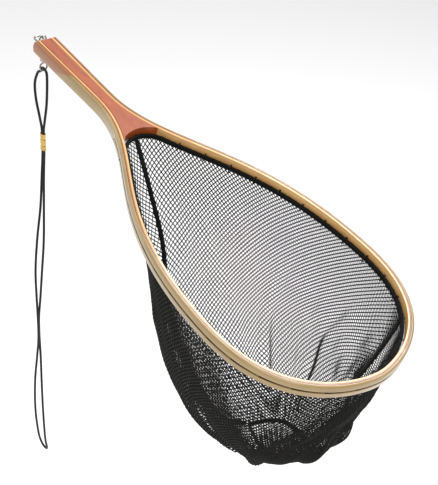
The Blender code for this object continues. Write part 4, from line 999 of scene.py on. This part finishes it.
# ---- stage ----
def stage():
    """A wide pale floor, a key light beyond the far rail, a wide fill on the near side, a
    weak light behind the butt and an even white surround."""
    f = Finish("floor_paint", Roughness=0.9)
    f.shader.inputs["Base Color"].default_value = (0.93, 0.93, 0.93, 1)
    mesh = bpy.data.meshes.new("floor")
    size = FLOOR_HALF
    mesh.from_pydata([(-size, -size, FLOOR_Z), (size, -size, FLOOR_Z), (size, size, FLOOR_Z),
                      (-size, size, FLOOR_Z)], [], [(0, 1, 2, 3)])
    mesh.materials.append(f.mat)
    floor = bpy.data.objects.new("floor", mesh)
    bpy.context.collection.objects.link(floor)
    world = bpy.data.worlds.new("studio")
    world.use_nodes = True
    world.node_tree.nodes["Background"].inputs["Color"].default_value = (1, 1, 1, 1)
    world.node_tree.nodes["Background"].inputs["Strength"].default_value = 0.75
    bpy.context.scene.world = world
    for name, spot, aim, size, power in (
            ("key", (0.1, 0.9, 1.5), (0.25, 0.0, -0.1), 0.9, 30),
            ("fill", (1.5, -1.1, 1.0), (0.2, 0.0, -0.15), 1.4, 16),
            ("left", (-1.4, -0.9, 0.9), (0.1, 0.0, -0.1), 0.8, 4)):
        data = bpy.data.lights.new(name, "AREA")
        data.size, data.energy = size, power
        lamp = bpy.data.objects.new(name, data)
        bpy.context.collection.objects.link(lamp)
        away = Vector(spot) - Vector(aim)
        turn = away.to_track_quat("Z", "Y").to_matrix().to_4x4()
        lamp.matrix_world = Matrix.Translation(Vector(spot)) @ turn
    bpy.context.scene.view_settings.view_transform = "Standard"


# ---- the whole net ----
def dress(node, mat):
    """Give a carried-over node its finish."""
    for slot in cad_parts[node].material_slots:
        slot.material = mat


def carry(piece, body, slot, *nodes):
    """Put a piece under its body's empty and hide the nodes it stands for.  The slot is not used."""
    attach(piece, body)
    if nodes:
        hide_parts(*nodes)


def main():
    """Make the camera, the cord, then wood, hem, netting, metal and stage."""
    camera()
    # the outer wood's last colour is painted shade for the grip's top face
    outer_wood = wood("olive_ash", (0.21, 0.125, 0.035), (0.34, 0.225, 0.075),
                      (0.43, 0.30, 0.12), top_face_shade=(0.30, 0.085, 0.018))
    inner_wood = wood("pale_ash", (0.46, 0.235, 0.07), (0.66, 0.37, 0.13), (0.74, 0.46, 0.19))
    accent_wood = wood("red_veneer", (0.16, 0.035, 0.007), (0.30, 0.070, 0.012), (0.38, 0.10, 0.02))
    core_wood = wood("rosewood_core", (0.20, 0.034, 0.004), (0.34, 0.062, 0.007),
                     (0.44, 0.098, 0.014), "Object", (0, -PITCH, 0))
    net_yarn = yarn("net_yarn", (0.003, 0.003, 0.003), (0.016, 0.015, 0.011), 0.0006)
    hem_yarn = yarn("hem_cloth", (0.002, 0.002, 0.002), (0.010, 0.009, 0.008), 0.0009, 0.8)
    tape_cloth = twill("tape_cloth", (0.002, 0.002, 0.002), (0.009, 0.008, 0.008), 0.0008)
    lace = yarn("lace_cord", (0.004, 0.003, 0.002), (0.022, 0.014, 0.009), 0.0004)
    sheath = braid("lanyard_sheath", (0.002, 0.002, 0.002), (0.012, 0.012, 0.012), 0.0045,
                   2 * math.pi * CORD_RADIUS)
    nickel = metal("nickel", (0.46, 0.45, 0.42), (0.20, 0.19, 0.17), 0.14)
    brass = metal("brass", (0.70, 0.47, 0.14), (0.38, 0.24, 0.06), 0.16)

    cord, route, length = lanyard(sheath)
    carry(cord, "lanyard", "cord", "lanyard_cord")
    sleeve = ferrule(brass)
    carry(sleeve, "lanyard", "brass", "ferrule")

    start = OUTER_THICK + GLUE
    outer = strip("outer_rail", 0.0, OUTER_THICK, outer_wood, (OUTER_ROUND, 0.0003), True)
    accent = strip("accent_rail", start, start + ACCENT_THICK, accent_wood, (0.0001, 0.0001))
    start += ACCENT_THICK + GLUE
    inner = strip("inner_rail", start, start + INNER_THICK, inner_wood, (0.0003, 0.0009))
    for rail, slot, node in ((outer, "outer_wood", "outer_strip"),
                             (accent, "accent_wood", "accent_strip"),
                             (inner, "inner_wood", "inner_strip")):
        drill(rail)
        carry(rail, "net", slot, node)
    carry(core(core_wood), "net", "core_wood", "handle_core")
    rolled = hem(hem_yarn)
    carry(rolled, "net", "tape", "rim_binding")
    carry(lacing(lace), "net", "lacing", "lashing_cord")
    dress("lashing_knot", lace)

    throat_tape = seam("throat_tape", THROAT_LINE, 0, tape_cloth)
    tip_tape = seam("tip_tape", TIP_LINE, 1, tape_cloth)
    low_tape = keel_tape(tape_cloth)
    carry(throat_tape, "net", "tape", "throat_seam_tape")
    carry(tip_tape, "net", "tape", "tip_seam_tape")
    carry(low_tape, "net", "tape", "bottom_seam_tape")
    for side in ("right", "left"):
        thing, flat, area = bag_side(side, net_yarn)
        carry(thing, "net", "mesh", f"bag_{side}_back", f"bag_{side}_front")
    thing, flat, area = bottom(net_yarn)
    carry(thing, "net", "mesh", "bag_bottom")

    ring, shank = eye_ring(nickel)
    carry(ring, "net", "nickel", "screw_eye")
    carry(shank, "net", "nickel")
    for node in ("snap_hook", "snap_gate", "gate_pin", "swivel_eye"):
        dress(node, nickel)
    stage()


main()
